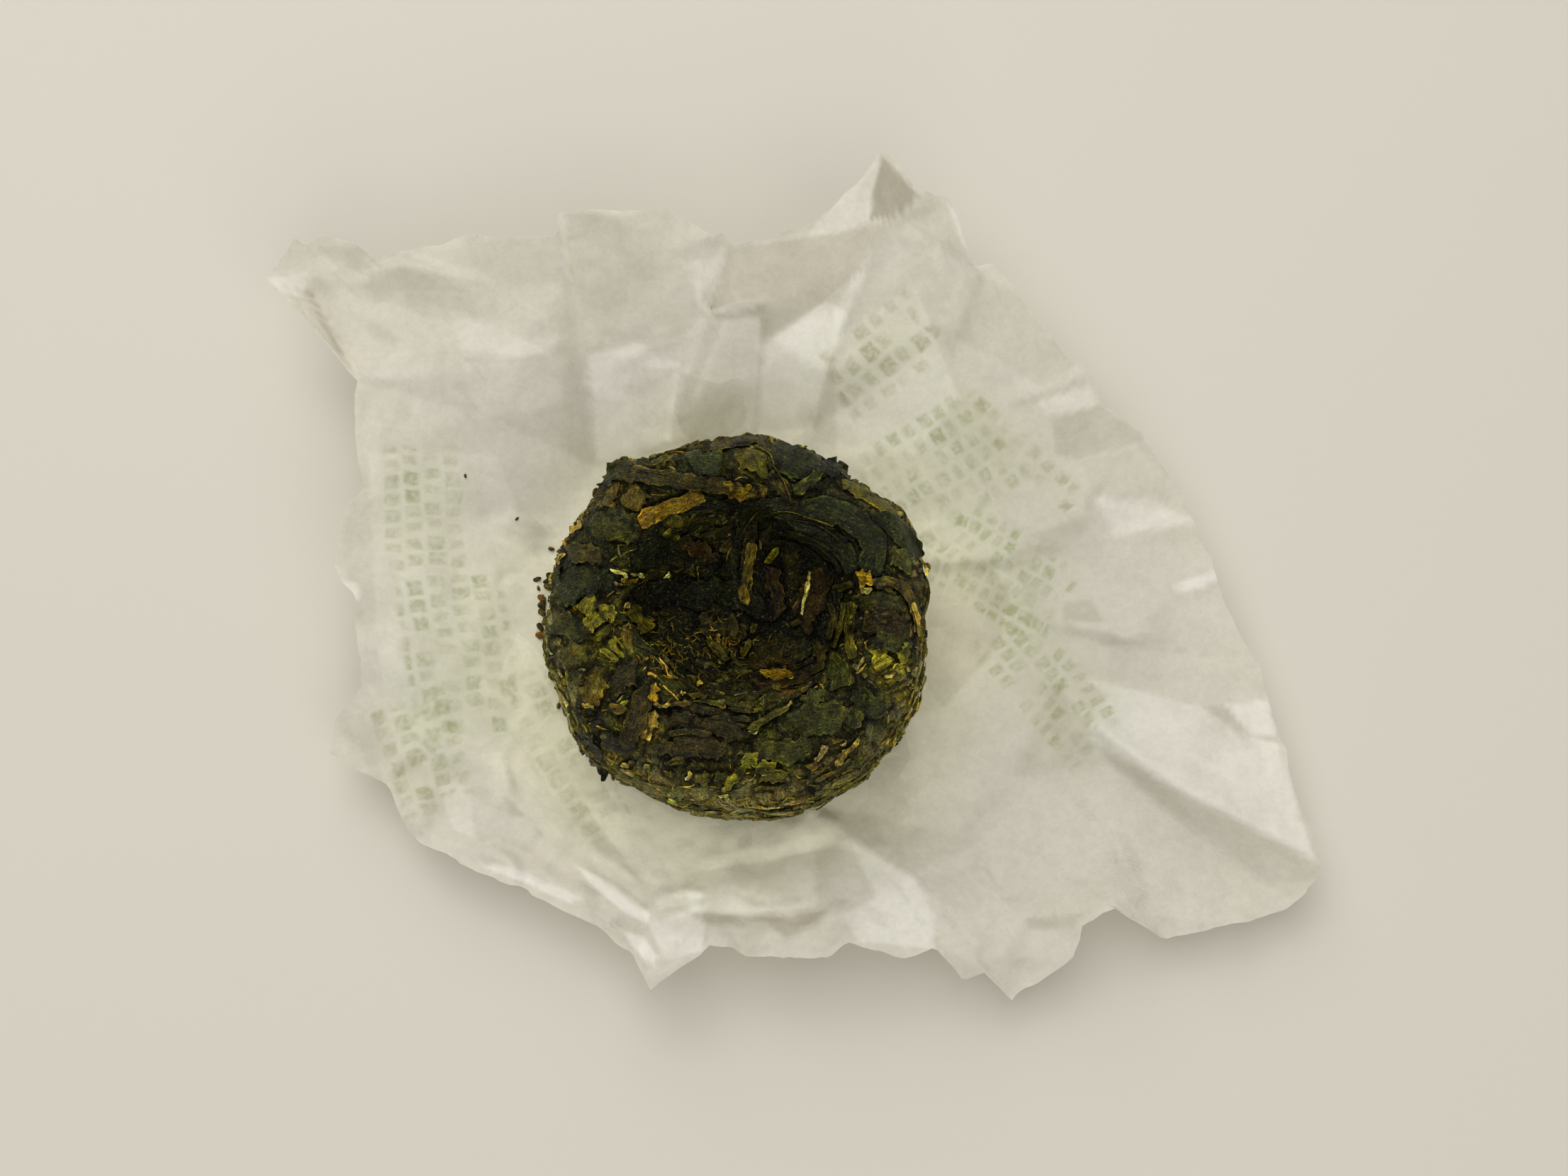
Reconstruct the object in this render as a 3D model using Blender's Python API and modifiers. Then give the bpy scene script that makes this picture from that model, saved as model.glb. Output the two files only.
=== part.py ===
"""Mini tuocha: a small nest of pressed tea leaves, hollow side up, on its opened tissue wrapper.

Metres, +Z up. The origin is on the underside of the wrapper, below the middle of the cake.
"""

import math

import bmesh
import bpy
from mathutils import Vector, noise

MM = 0.001

# Driving dimensions, in millimetres
CAKE_DIAMETER = 31.0
CAKE_HEIGHT = 14.4
WELL_LENGTH = 18.0  # the hollow, measured across its lip along X
WELL_WIDTH = 16.4  # and along Y
WELL_DEPTH = 8.0
WELL_OFFSET = (0.7, 1.1)  # the hollow sits a little off the middle of the cake
REST_RADIUS = 9.6  # the flat spot that the cake stands on
LEAF_RELIEF = 0.75  # how far a folded leaf stands out of the pressed surface
FLAKE_SIZE = 3.6  # the broken leaves pressed into the rest of the surface
FLAKE_RELIEF = 0.45
TISSUE_THICKNESS = 0.45
TISSUE_FOOT = 11.0  # radius of the flat part of the wrapper, under the cake
PLEAT_HEIGHT = 1.3
PLEAT_COUNT = 23
CRUMPLE_HEIGHT = 0.8
CRUMPLE_SIZE = 8.0
SHEET_GAP = 0.3  # clearance between the cake and its wrapper

# Resolution
CAKE_STEPS = 96
CAKE_STATIONS = 31
TISSUE_RINGS = 9
TISSUE_EDGE_STEP = 3.6

CAKE_RADIUS = CAKE_DIAMETER / 2
CREST_RADIUS = CAKE_RADIUS - 3.9  # highest line of the rim
BASE_LEVEL = TISSUE_THICKNESS + SHEET_GAP

# Leaves that stand out of the rim: angle round the cake (degrees), radius, half length,
# half width, and the turn of the leaf's long side away from the rim's own direction
RIM_LEAVES = {
    "far fold": (112, 12.2, 6.5, 1.5, 6),
    "far flake": (75, 12.6, 3.0, 2.0, 25),
    "left flake": (150, 11.8, 3.2, 1.8, -35),
    "left shoulder": (188, 12.8, 3.6, 2.0, 10),
    "near left block": (228, 11.9, 3.4, 2.2, 55),
    "near long leaf": (268, 12.0, 6.5, 1.7, -4),
    "near right leaf": (305, 12.8, 4.6, 1.6, 8),
    "right curl": (352, 12.4, 5.2, 2.3, 3),
    "right shoulder": (32, 12.9, 4.2, 1.9, -12),
}

# The torn and folded edge of the opened wrapper, anticlockwise from the right: X, Y and how
# high the edge stands off the table
TISSUE_EDGE = {
    "right ripple": (41.0, 2.4, 6.0),
    "right side": (38.8, 10.0, 6.5),
    "right step": (34.6, 17.8, 6.5),
    "right notch": (30.8, 20.0, 7.5),
    "right ear": (30.3, 22.6, 7.5),
    "far right slope": (25.1, 28.2, 8.5),
    "far right knuckle": (20.4, 31.8, 9.5),
    "peak shoulder": (17.5, 36.3, 12.0),
    "peak": (12.4, 39.2, 14.0),
    "peak foot": (8.9, 33.7, 11.0),
    "far notch": (-0.4, 32.4, 10.0),
    "far fold": (-5.6, 35.5, 13.0),
    "far flap": (-14.9, 35.2, 12.5),
    "far left dip": (-23.9, 33.1, 11.0),
    "left cleft": (-31.5, 30.8, 9.0),
    "left corner top": (-37.2, 33.7, 10.0),
    "left corner": (-40.1, 30.5, 8.5),
    "left side top": (-31.6, 21.1, 9.0),
    "left side": (-31.2, 12.4, 9.5),
    "left bulge": (-32.7, 6.0, 9.0),
    "left waist": (-30.2, -1.5, 9.5),
    "left lug": (-32.4, -8.8, 8.0),
    "near left": (-27.4, -13.2, 9.5),
    "near left rim": (-19.7, -19.8, 9.5),
    "near rim": (-8.4, -25.6, 8.0),
    "spike": (-6.4, -28.6, 7.0),
    "near crinkle": (1.0, -26.0, 7.0),
    "near ripple": (9.2, -25.2, 7.0),
    "near fold": (16.2, -25.7, 6.0),
    "near tip": (22.5, -29.6, 3.0),
    "bay": (30.4, -22.7, 6.0),
    "near right": (40.2, -23.4, 3.2),
    "right corner": (47.8, -19.6, 4.0),
    "right edge": (44.3, -5.8, 5.0),
}


def clear_scene():
    for obj in list(bpy.data.objects):
        bpy.data.objects.remove(obj, do_unlink=True)


def smoothstep(low, high, value):
    share = min(1.0, max(0.0, (value - low) / (high - low)))
    return share * share * (3 - 2 * share)


def material(name, colour, roughness):
    made = bpy.data.materials.new(name)
    made.use_nodes = True
    shader = made.node_tree.nodes["Principled BSDF"]
    shader.inputs["Base Color"].default_value = (*colour, 1.0)
    shader.inputs["Roughness"].default_value = roughness
    shader.inputs["Metallic"].default_value = 0.0
    return made


def spline(points, stations):
    """A smooth line through the points, as evenly spaced stations along their index."""
    line = []
    last = len(points) - 1
    for i in range(stations):
        place = last * i / (stations - 1)
        k = min(int(place), last - 1)
        t = place - k
        before, here = points[max(k - 1, 0)], points[k]
        there, after = points[k + 1], points[min(k + 2, last)]
        line.append(
            tuple(
                here[axis]
                + 0.5 * t * (there[axis] - before[axis])
                + t * t * (before[axis] - 2.5 * here[axis] + 2 * there[axis] - 0.5 * after[axis])
                + t * t * t * 1.5 * (here[axis] - there[axis])
                + t * t * t * 0.5 * (after[axis] - before[axis])
                for axis in (0, 1)
            )
        )
    return line


def cake_profile():
    """Half section of the nest: out from the well's floor, over the rim and down to the base."""
    well = (WELL_LENGTH + WELL_WIDTH) / 4
    top = CAKE_HEIGHT
    floor = top - WELL_DEPTH
    controls = [
        (0.0, floor),
        (0.5 * well, floor + 0.3),
        (0.86 * well, floor + 0.4 * WELL_DEPTH),
        (well, top - 1.3),
        (CREST_RADIUS, top),
        (CAKE_RADIUS - 1.7, top - 0.7),
        (CAKE_RADIUS - 0.4, top - 2.9),
        (CAKE_RADIUS, 0.45 * top),
        (CAKE_RADIUS - 1.0, 0.22 * top),
        (CAKE_RADIUS - 3.2, 0.05 * top),
        (REST_RADIUS, 0.0),
        (0.0, 0.0),
    ]
    section = [(max(r, 0.0), max(z, 0.0)) for r, z in spline(controls, CAKE_STATIONS)]
    section[0] = (0.0, section[0][1])
    section[-1] = (0.0, 0.0)
    return section


def turned(name, section, steps):
    """The section swept round Z by a Screw modifier, and made a plain mesh."""
    mesh = bpy.data.meshes.new(name)
    points = [(r * MM, 0.0, z * MM) for r, z in section]
    mesh.from_pydata(points, [(i, i + 1) for i in range(len(points) - 1)], [])
    guide = bpy.data.objects.new(name + "_profile", mesh)
    bpy.context.scene.collection.objects.link(guide)
    screw = guide.modifiers.new("Screw", "SCREW")
    screw.axis = "Z"
    screw.angle = 2 * math.pi
    screw.steps = steps
    screw.render_steps = steps
    screw.use_merge_vertices = True
    screw.merge_threshold = 0.00001
    graph = bpy.context.evaluated_depsgraph_get()
    made = bpy.data.meshes.new_from_object(guide.evaluated_get(graph))
    made.name = name
    bpy.data.objects.remove(guide, do_unlink=True)
    return made


def leaf_bulge(angle, radius):
    """Height of the folded leaves of the rim at a place on it: a flat-topped lump each."""
    height = 0.0
    for turn, middle, half_length, half_width, slant in RIM_LEAVES.values():
        away = math.radians(angle - turn)
        away = math.atan2(math.sin(away), math.cos(away))
        along, across = away * middle, radius - middle
        tilt = math.radians(slant)
        u = (along * math.cos(tilt) + across * math.sin(tilt)) / half_length
        v = (across * math.cos(tilt) - along * math.sin(tilt)) / half_width
        height = max(height, 1 - smoothstep(0.75, 1.25, math.hypot(u, v)))
    return height


def flake_relief(x, y, z):
    """Height of the broken leaves at a place: plates that stand out between narrow grooves."""
    long_way = Vector((x, y, 2.0 * z)) / FLAKE_SIZE
    distances, _ = noise.voronoi(long_way, distance_metric="DISTANCE")
    plate = smoothstep(0.04, 0.30, distances[1] - distances[0])
    return FLAKE_RELIEF * (plate - 0.6 + 0.5 * noise.noise(long_way * 0.9))


def pressed(x, y, z):
    """Moves a point of the turned nest to where hand pressing left it."""
    radius, angle = math.hypot(x, y), math.atan2(y, x)
    rough = flake_relief(x, y, z)
    inside = z > 0.3 * CAKE_HEIGHT and radius < CREST_RADIUS
    if inside:
        well = smoothstep(CREST_RADIUS, 0.75 * CREST_RADIUS, radius)
        mean = (WELL_LENGTH + WELL_WIDTH) / 2
        x = x * (1 + well * (WELL_LENGTH / mean - 1)) + well * WELL_OFFSET[0]
        y = y * (1 + well * (WELL_WIDTH / mean - 1)) + well * WELL_OFFSET[1]
        z += 0.35 * well * math.sin(2 * angle + 0.6) * smoothstep(0, 4, radius)
        # a leaf lies folded across the floor of the hollow
        z += 1.1 * math.exp(-((x - 0.6) ** 2) / 1.4) * smoothstep(-6, -1, y) * well
        z += rough * smoothstep(0, 1.5, radius)
    else:
        side = smoothstep(0.02, 0.3, z / CAKE_HEIGHT)
        waves = (
            0.010 * math.cos(2 * angle + 0.7)
            + 0.009 * math.cos(5 * angle - 0.4)
            + 0.007 * math.cos(9 * angle + 1.9)
            + 0.006 * math.sin(5.5 * z + 3 * angle)
        )
        spread = 1 + side * (waves + rough / CAKE_RADIUS)
        x, y = x * spread, y * spread
    upper = smoothstep(0.5 * CAKE_HEIGHT, 0.9 * CAKE_HEIGHT, z)
    z += upper * (0.40 * math.cos(angle - 1.9) + 0.22 * math.cos(3 * angle + 0.5))
    z += upper * LEAF_RELIEF * leaf_bulge(math.degrees(angle), radius)
    return x, y, z


def make_tuocha(collection, finish):
    mesh = turned("tuocha", cake_profile(), CAKE_STEPS)
    for vertex in mesh.vertices:
        x, y, z = pressed(*(value / MM for value in vertex.co))
        vertex.co = (x * MM, y * MM, (z + BASE_LEVEL) * MM)
    mesh.materials.clear()
    mesh.materials.append(finish)
    mesh.shade_smooth()
    cake = bpy.data.objects.new("tuocha", mesh)
    collection.objects.link(cake)
    return cake


def edge_samples():
    """The wrapper's edge as points a short step apart, sharp at its named corners."""
    corners = list(TISSUE_EDGE.values())
    samples = []
    for start, end in zip(corners, corners[1:] + corners[:1]):
        pieces = max(1, round(math.dist(start[:2], end[:2]) / TISSUE_EDGE_STEP))
        for i in range(pieces):
            share = i / pieces
            samples.append(tuple(a + share * (b - a) for a, b in zip(start, end)))
    return samples


def pleat(angle):
    """A zigzag of radial folds, -1 to 1, unevenly spaced round the wrapper."""
    phase = PLEAT_COUNT * angle / (2 * math.pi) + 0.35 * math.sin(3 * angle) + 0.2 * math.sin(7 * angle)
    return 4 * abs(phase - math.floor(phase + 0.5)) - 1


def tissue_height(share, edge_height, angle, radius):
    """Underside of the wrapper: flat at its foot, lifting towards the edge, pleated outwards."""
    lift = edge_height * (0.45 * share + 0.55 * share * share)
    place = Vector((radius * math.cos(angle), radius * math.sin(angle), 0.0)) / CRUMPLE_SIZE
    folds = PLEAT_HEIGHT * pleat(angle) * (1.25 - share) + CRUMPLE_HEIGHT * noise.noise(place)
    return max(0.0, lift + share * folds)


def make_wrapper(collection, finish):
    shape = bmesh.new()
    centre = shape.verts.new((0.0, 0.0, 0.0))
    rings = [[] for _ in range(TISSUE_RINGS + 1)]
    for x, y, edge_height in edge_samples():
        angle = math.atan2(y, x)
        length = math.hypot(x, y)
        for k, ring in enumerate(rings):
            share = k / TISSUE_RINGS
            radius = TISSUE_FOOT + share * (length - TISSUE_FOOT)
            height = tissue_height(share, edge_height, angle, radius)
            place = (radius * math.cos(angle) * MM, radius * math.sin(angle) * MM, height * MM)
            ring.append(shape.verts.new(place))
    count = len(rings[0])
    for i in range(count):
        j = (i + 1) % count
        shape.faces.new((centre, rings[0][i], rings[0][j]))
        for inner, outer in zip(rings, rings[1:]):
            shape.faces.new((inner[i], outer[i], outer[j], inner[j]))
    under = list(shape.faces)
    raised = bmesh.ops.extrude_face_region(shape, geom=under, use_keep_orig=True)
    lifted = [item for item in raised["geom"] if isinstance(item, bmesh.types.BMVert)]
    bmesh.ops.translate(shape, verts=lifted, vec=(0.0, 0.0, TISSUE_THICKNESS * MM))
    bmesh.ops.recalc_face_normals(shape, faces=shape.faces)
    mesh = bpy.data.meshes.new("wrapper")
    shape.to_mesh(mesh)
    shape.free()
    mesh.materials.append(finish)
    wrapper = bpy.data.objects.new("wrapper", mesh)
    collection.objects.link(wrapper)
    return wrapper


def main():
    clear_scene()
    collection = bpy.data.collections.new("mini_tuocha")
    bpy.context.scene.collection.children.link(collection)
    make_tuocha(collection, material("pressed_leaf", (0.055, 0.050, 0.028), 0.6))
    make_wrapper(collection, material("tissue", (0.72, 0.70, 0.64), 0.85))


main()
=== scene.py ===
# Mini tuocha: a small nest of pressed tea on its opened tissue wrapper, seen from above.
# Millimetres are used throughout; meshPiece turns them into metres. Angles are in radians
# unless a value's note says degrees. The whole numbers in the tables of lines and outlines are
# pixels of the 2212 x 1659 picture, turned into places on the object by the scene's own camera.
import math

import bpy
import numpy as np
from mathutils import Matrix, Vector
from mathutils.geometry import delaunay_2d_cdt


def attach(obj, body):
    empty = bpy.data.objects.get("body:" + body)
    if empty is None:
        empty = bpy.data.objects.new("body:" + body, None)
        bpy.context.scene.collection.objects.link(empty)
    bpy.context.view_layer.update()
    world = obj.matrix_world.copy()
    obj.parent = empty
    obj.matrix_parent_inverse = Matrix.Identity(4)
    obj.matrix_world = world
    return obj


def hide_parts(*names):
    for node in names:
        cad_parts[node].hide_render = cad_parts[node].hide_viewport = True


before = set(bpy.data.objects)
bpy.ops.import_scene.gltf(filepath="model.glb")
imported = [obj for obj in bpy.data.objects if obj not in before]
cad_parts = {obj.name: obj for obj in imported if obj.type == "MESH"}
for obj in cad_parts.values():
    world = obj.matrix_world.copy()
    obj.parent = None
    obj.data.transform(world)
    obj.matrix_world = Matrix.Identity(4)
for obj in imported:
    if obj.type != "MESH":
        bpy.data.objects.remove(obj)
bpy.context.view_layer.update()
print("frame loaded")

mm = 0.001

view = {
    "imageSize": (2212, 1659),
    "target": (4.13, 5.5, 0.0),
    "distance": 160.0,
    "elevation": 76.0,  # degrees above the table
    "lens": 42.4,
    "sensor": 36.0,
}
lean = math.radians(view["elevation"])
eye = np.array(view["target"]) + view["distance"] * np.array([0.0, -math.cos(lean), math.sin(lean)])
ahead = np.array([0.0, math.cos(lean), -math.sin(lean)])
rightHand = np.array([1.0, 0.0, 0.0])
upHand = np.array([0.0, math.sin(lean), math.cos(lean)])
perPixel = view["sensor"] / view["lens"] / view["imageSize"][0]


def sightLine(px, py):
    # unit direction from the eye through a pixel
    across = (np.asarray(px, float) - view["imageSize"][0] / 2) * perPixel
    down = (np.asarray(py, float) - view["imageSize"][1] / 2) * perPixel
    line = ahead + across[..., None] * rightHand - down[..., None] * upHand
    return line / np.linalg.norm(line, axis=-1, keepdims=True)


def atHeight(px, py, height):
    # where the line of sight through a pixel meets the level of this height
    line = sightLine(px, py)
    reach = (np.asarray(height, float) - eye[2]) / line[..., 2]
    return eye + line * reach[..., None]


def toPixel(places):
    # pixel and distance of each place
    away = places - eye
    depth = away @ ahead
    px = view["imageSize"][0] / 2 + (away @ rightHand) / depth / perPixel
    py = view["imageSize"][1] / 2 - (away @ upHand) / depth / perPixel
    return px, py, np.linalg.norm(away, axis=-1)


def roundSteps(count):
    # angles of equal steps once round
    return np.arange(count) * 2 * math.pi / count


def easedSteps(margin, count):
    # shares from margin to 1 - margin, closer together towards both ends
    return 0.5 - 0.5 * np.cos(np.linspace(margin, 1 - margin, count) * math.pi)


def waves(angle, parts):
    # the sum of cosines round the nest: height, times round, turn
    return sum(height * np.cos(times * angle + turn) for height, times, turn in parts)


def smoothStep(low, high, value):
    # 0 below low, 1 above high, 3t^2 - 2t^3 between
    share = np.clip((value - low) / (high - low), 0.0, 1.0)
    return share * share * (3.0 - 2.0 * share)


def throughPoints(points, shares):
    # a Catmull-Rom cubic on each span; shares run 0 to 1 over all the spans
    points = np.asarray(points, float)
    last = len(points) - 1
    place = np.clip(np.asarray(shares, float), 0.0, 1.0) * last
    span = np.clip(place.astype(int), 0, last - 1)
    t = (place - span)[..., None]
    before, here = points[np.maximum(span - 1, 0)], points[span]
    there, after = points[span + 1], points[np.minimum(span + 2, last)]
    return (
        here
        + 0.5 * t * (there - before)
        + t * t * (before - 2.5 * here + 2.0 * there - 0.5 * after)
        + t**3 * (1.5 * (here - there) + 0.5 * (after - before))
    )


def runAlong(line):
    # the distance from a line's first point to each of its points
    return np.concatenate([[0.0], np.cumsum(np.linalg.norm(np.diff(line, axis=0), axis=1))])


def hashed(cell, seed):
    # a repeatable number from 0 to 1 for each whole-number cell: its parts times large primes,
    # their bits stirred together
    mixed = cell[..., 0] * 73856093 ^ cell[..., 1] * 19349663 ^ cell[..., 2] * 83492791
    mixed = mixed ^ (seed * 40503 + 977)
    mixed = (mixed ^ (mixed >> 13)) * 1274126177
    mixed = (mixed ^ (mixed >> 16)) * 668265263
    return ((mixed ^ (mixed >> 15)) & 0xFFFFFF) / 16777215.0


def softNoise(places, size, seed):
    # value noise, -1 to 1: cell corners' numbers mixed by smooth weights along x, y and z
    scaled = np.asarray(places, float) / size
    corner = np.floor(scaled).astype(np.int64)
    part = scaled - corner
    part = part * part * (3.0 - 2.0 * part)
    total = 0.0
    for dx in (0, 1):
        for dy in (0, 1):
            for dz in (0, 1):
                weight = (
                    (part[..., 0] if dx else 1 - part[..., 0])
                    * (part[..., 1] if dy else 1 - part[..., 1])
                    * (part[..., 2] if dz else 1 - part[..., 2])
                )
                total = total + weight * hashed(corner + np.array([dx, dy, dz]), seed)
    return 2.0 * total - 1.0


def layeredNoise(places, size, seed, layers=3):
    # softNoise at this size plus halves of it at half the size, and so on
    total, weight = 0.0, 1.0
    for k in range(layers):
        total = total + weight * softNoise(places, size / 2**k, seed + 17 * k)
        weight *= 0.5
    return total


def brokenCells(places, size, seed):
    # nearest and second distance to one jittered point per cell, its number, and the way to it
    scaled = np.asarray(places, float) / size
    base = np.floor(scaled).astype(np.int64)
    near = np.full(scaled.shape[:-1], 9.0)
    second = near.copy()
    number = np.zeros_like(near)
    offset = np.zeros_like(scaled)
    for dx in (-1, 0, 1):
        for dy in (-1, 0, 1):
            for dz in (-1, 0, 1):
                cell = base + np.array([dx, dy, dz])
                spot = cell + np.stack([hashed(cell, seed + k) for k in range(3)], -1)
                gap = scaled - spot
                length = np.sqrt((gap * gap).sum(-1))
                closer = length < near
                second = np.where(closer, near, np.minimum(second, length))
                near = np.where(closer, length, near)
                number = np.where(closer, hashed(cell, seed + 5), number)
                offset = np.where(closer[..., None], gap, offset)
    return near, second, number, offset


def shown(red, green, blue, gain=1.0):
    # a colour as it shows on screen, 0 to 255, made linear
    values = np.array([red, green, blue]) / 255.0
    return np.where(values <= 0.04045, values / 12.92, ((values + 0.055) / 1.055) ** 2.4) * gain


def meshPiece(name, places, quads, triangles, finish, uv=None, tone=None):
    # a mesh object from arrays: places in millimetres, corner numbers of its faces
    corners = np.concatenate([quads.ravel(), triangles.ravel()]).astype(np.int32)
    starts = np.concatenate([np.arange(len(quads)) * 4, len(quads) * 4 + np.arange(len(triangles)) * 3])
    mesh = bpy.data.meshes.new(name)
    mesh.vertices.add(len(places))
    mesh.vertices.foreach_set("co", (places * mm).astype(np.float32).ravel())
    mesh.loops.add(len(corners))
    mesh.loops.foreach_set("vertex_index", corners)
    mesh.polygons.add(len(starts))
    mesh.polygons.foreach_set("loop_start", starts.astype(np.int32))
    mesh.polygons.foreach_set("use_smooth", np.ones(len(starts), bool))
    mesh.update(calc_edges=True)
    if uv is not None:
        layer = mesh.uv_layers.new(name="flatPlace")
        layer.data.foreach_set("uv", uv[corners].astype(np.float32).ravel())
    if tone is not None:
        colour = np.concatenate([tone, np.ones((len(tone), 1))], axis=1).astype(np.float32)
        mesh.attributes.new("tone", "FLOAT_COLOR", "POINT").data.foreach_set("color", colour.ravel())
    mesh.validate()
    mesh.materials.append(finish)
    piece = bpy.data.objects.new(name, mesh)
    bpy.context.scene.collection.objects.link(piece)
    return piece


def facingOut(places, quads, triangles):
    # the same faces, turned round if the volume inside them, a sum of corner products, is negative
    split = np.concatenate([quads[:, [0, 1, 2]], quads[:, [0, 2, 3]], triangles])
    a, b, c = places[split[:, 0]], places[split[:, 1]], places[split[:, 2]]
    if (a * np.cross(b, c)).sum() < 0:
        return quads[:, ::-1], triangles[:, ::-1]
    return quads, triangles


class Wire:
    # one output of a node; arithmetic on it adds Math nodes beside that node
    def __init__(self, recipe, socket):
        self.recipe, self.socket = recipe, socket

    def __add__(self, other):
        return self.recipe.sums("ADD", self, other)

    def __sub__(self, other):
        return self.recipe.sums("SUBTRACT", self, other)

    def __rsub__(self, other):
        return self.recipe.sums("SUBTRACT", other, self)

    def __mul__(self, other):
        return self.recipe.sums("MULTIPLY", self, other)

    def __truediv__(self, other):
        return self.recipe.sums("DIVIDE", self, other)

    def __gt__(self, other):
        return self.recipe.sums("GREATER_THAN", self, other)

    __radd__ = __add__
    __rmul__ = __mul__


class Recipe:
    # the node tree of one material
    def __init__(self, name):
        self.material = bpy.data.materials.new(name)
        self.material.use_nodes = True
        self.tree = self.material.node_tree
        self.tree.nodes.clear()

    def make(self, kind, inputs=None, output=0, **settings):
        # any node: its settings first, then the values or links of its sockets
        node = self.tree.nodes.new("ShaderNode" + kind)
        for key, value in settings.items():
            setattr(node, key, value)
        for key, value in (inputs or {}).items():
            if isinstance(value, Wire):
                self.tree.links.new(value.socket, node.inputs[key])
            else:
                node.inputs[key].default_value = value
        return Wire(self, node.outputs[output]) if len(node.outputs) else None

    def sums(self, operation, first, second=0.0):
        return self.make("Math", {0: first, 1: second}, operation=operation)

    def vectors(self, operation, *parts, output=0):
        return self.make("VectorMath", dict(enumerate(parts)), output, operation=operation)

    def between(self, low, high, value):
        # smoothStep as a Map Range node
        inputs = {"Value": value, "From Min": low, "From Max": high}
        return self.make("MapRange", inputs, interpolation_type="SMOOTHSTEP", clamp=True)

    def mixed(self, share, first, second, how="MIX"):
        pair = [(*item, 1.0) if isinstance(item, (tuple, np.ndarray)) else item for item in (first, second)]
        return self.make("Mix", {0: share, 6: pair[0], 7: pair[1]}, 2, data_type="RGBA", blend_type=how)

    def noise(self, where, scale, detail=3.0, roughness=0.55):
        return self.make(
            "TexNoise", {"Vector": where, "Scale": scale, "Detail": detail, "Roughness": roughness}
        )

    def place(self):
        return self.make("TexCoord", output=3)

    def bump(self, height, distance, strength=1.0, under=None):
        inputs = {"Strength": strength, "Distance": distance, "Height": height}
        if under is not None:
            inputs["Normal"] = under
        return self.make("Bump", inputs)

    def surface(self, colour, roughness, shine, normal=None):
        inputs = {"Base Color": colour, "Roughness": roughness, "Specular IOR Level": shine}
        if normal is not None:
            inputs["Normal"] = normal
        return self.make("BsdfPrincipled", inputs)

    def finish(self, shader):
        self.make("OutputMaterial", {"Surface": shader})
        return self.material


leafLook = {
    "shine": 0.27,
    "roughness": (0.31, 0.62),
    "patchScale": 520.0,  # per metre: tone patches a millimetre or two across
    "mottleScale": 1900.0,
    "grainScale": 3300.0,
    "threadScale": 3420.0,  # the core's fibres
    "light": (0.42, 0.36, 0.62, 0.74),  # least, and what the mottle, grain and fibres add
    "fibreAcross": 3.8,  # fibres per millimetre of leaf width
    "fibreAlong": 1.0,
    "mottleRelief": 0.00013,
    "grainRelief": 0.00009,
    "fibreRelief": 0.00022,
    "warm": (1.22, 1.14, 0.36),
    "cool": (0.88, 1.00, 0.44),
    "speckTone": (158, 146, 92),
    "speckShare": 0.24,
    "speckScale": 3990.0,
}


def leafMaterial(name, withFibre):
    # dry pressed leaf: each leaf's own tone, warmer and cooler in patches, mottled, speckled, with
    # fibres along the leaf where it has a UV map
    recipe = Recipe(name)
    place = recipe.place()
    tone = recipe.make("Attribute", attribute_name="tone")
    patch = recipe.between(0.38, 0.62, recipe.noise(place, leafLook["patchScale"], 3.0, 0.6))
    mottle = recipe.between(0.39, 0.61, recipe.noise(place, leafLook["mottleScale"], 4.0, 0.62))
    grain = recipe.between(0.38, 0.62, recipe.noise(place, leafLook["grainScale"], 2.0, 0.6))
    if withFibre:
        flat = recipe.make("UVMap", uv_map="flatPlace")
        stretch = {"Vector": flat, "Scale": (leafLook["fibreAlong"], leafLook["fibreAcross"], 1.0)}
        fibre = recipe.noise(recipe.make("Mapping", stretch), 1.0, 3.0, 0.6)
    else:
        fibre = recipe.noise(place, leafLook["threadScale"], 3.0, 0.6)
    fibre = recipe.between(0.40, 0.60, fibre)
    colour = recipe.mixed(1.0, tone, recipe.mixed(patch, leafLook["cool"], leafLook["warm"]), "MULTIPLY")
    least, byMottle, byGrain, byFibre = leafLook["light"]
    light = least + mottle * byMottle + grain * byGrain + fibre * byFibre
    grey = recipe.make("CombineColor", {0: light, 1: light, 2: light})
    colour = recipe.mixed(1.0, colour, grey, "MULTIPLY")
    speck = recipe.between(0.60, 0.67, recipe.noise(place, leafLook["speckScale"], 2.0, 0.55))
    colour = recipe.mixed(speck * leafLook["speckShare"], colour, tuple(shown(*leafLook["speckTone"])))
    least, most = leafLook["roughness"]
    rough = recipe.make("MapRange", {"Value": fibre, "To Min": least, "To Max": most})
    normal = recipe.bump(mottle, leafLook["mottleRelief"])
    normal = recipe.bump(grain, leafLook["grainRelief"], 1.0, normal)
    normal = recipe.bump(fibre, leafLook["fibreRelief"], 1.0, normal)
    return recipe.finish(recipe.surface(colour, rough, leafLook["shine"], normal))


tones = {
    # as they show in the picture
    "slate": (60, 61, 25),
    "teal": (42, 47, 20),
    "umber": (58, 51, 20),
    "plum": (54, 46, 22),
    "bark": (94, 79, 30),
    "olive": (86, 80, 20),
    "moss": (122, 114, 34),
    "gold": (162, 124, 24),
    "tan": (160, 136, 74),
    "cream": (214, 198, 144),
    "straw": (134, 124, 108),
    "drab": (108, 101, 94),
    "rust": (122, 84, 10),
    "ochre": (138, 108, 20),
    "soot": (24, 24, 8),
    "night": (24, 28, 11),
    "cocoa": (50, 37, 11),
}
leafTone = {name: shown(*value) for name, value in tones.items()}
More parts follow.
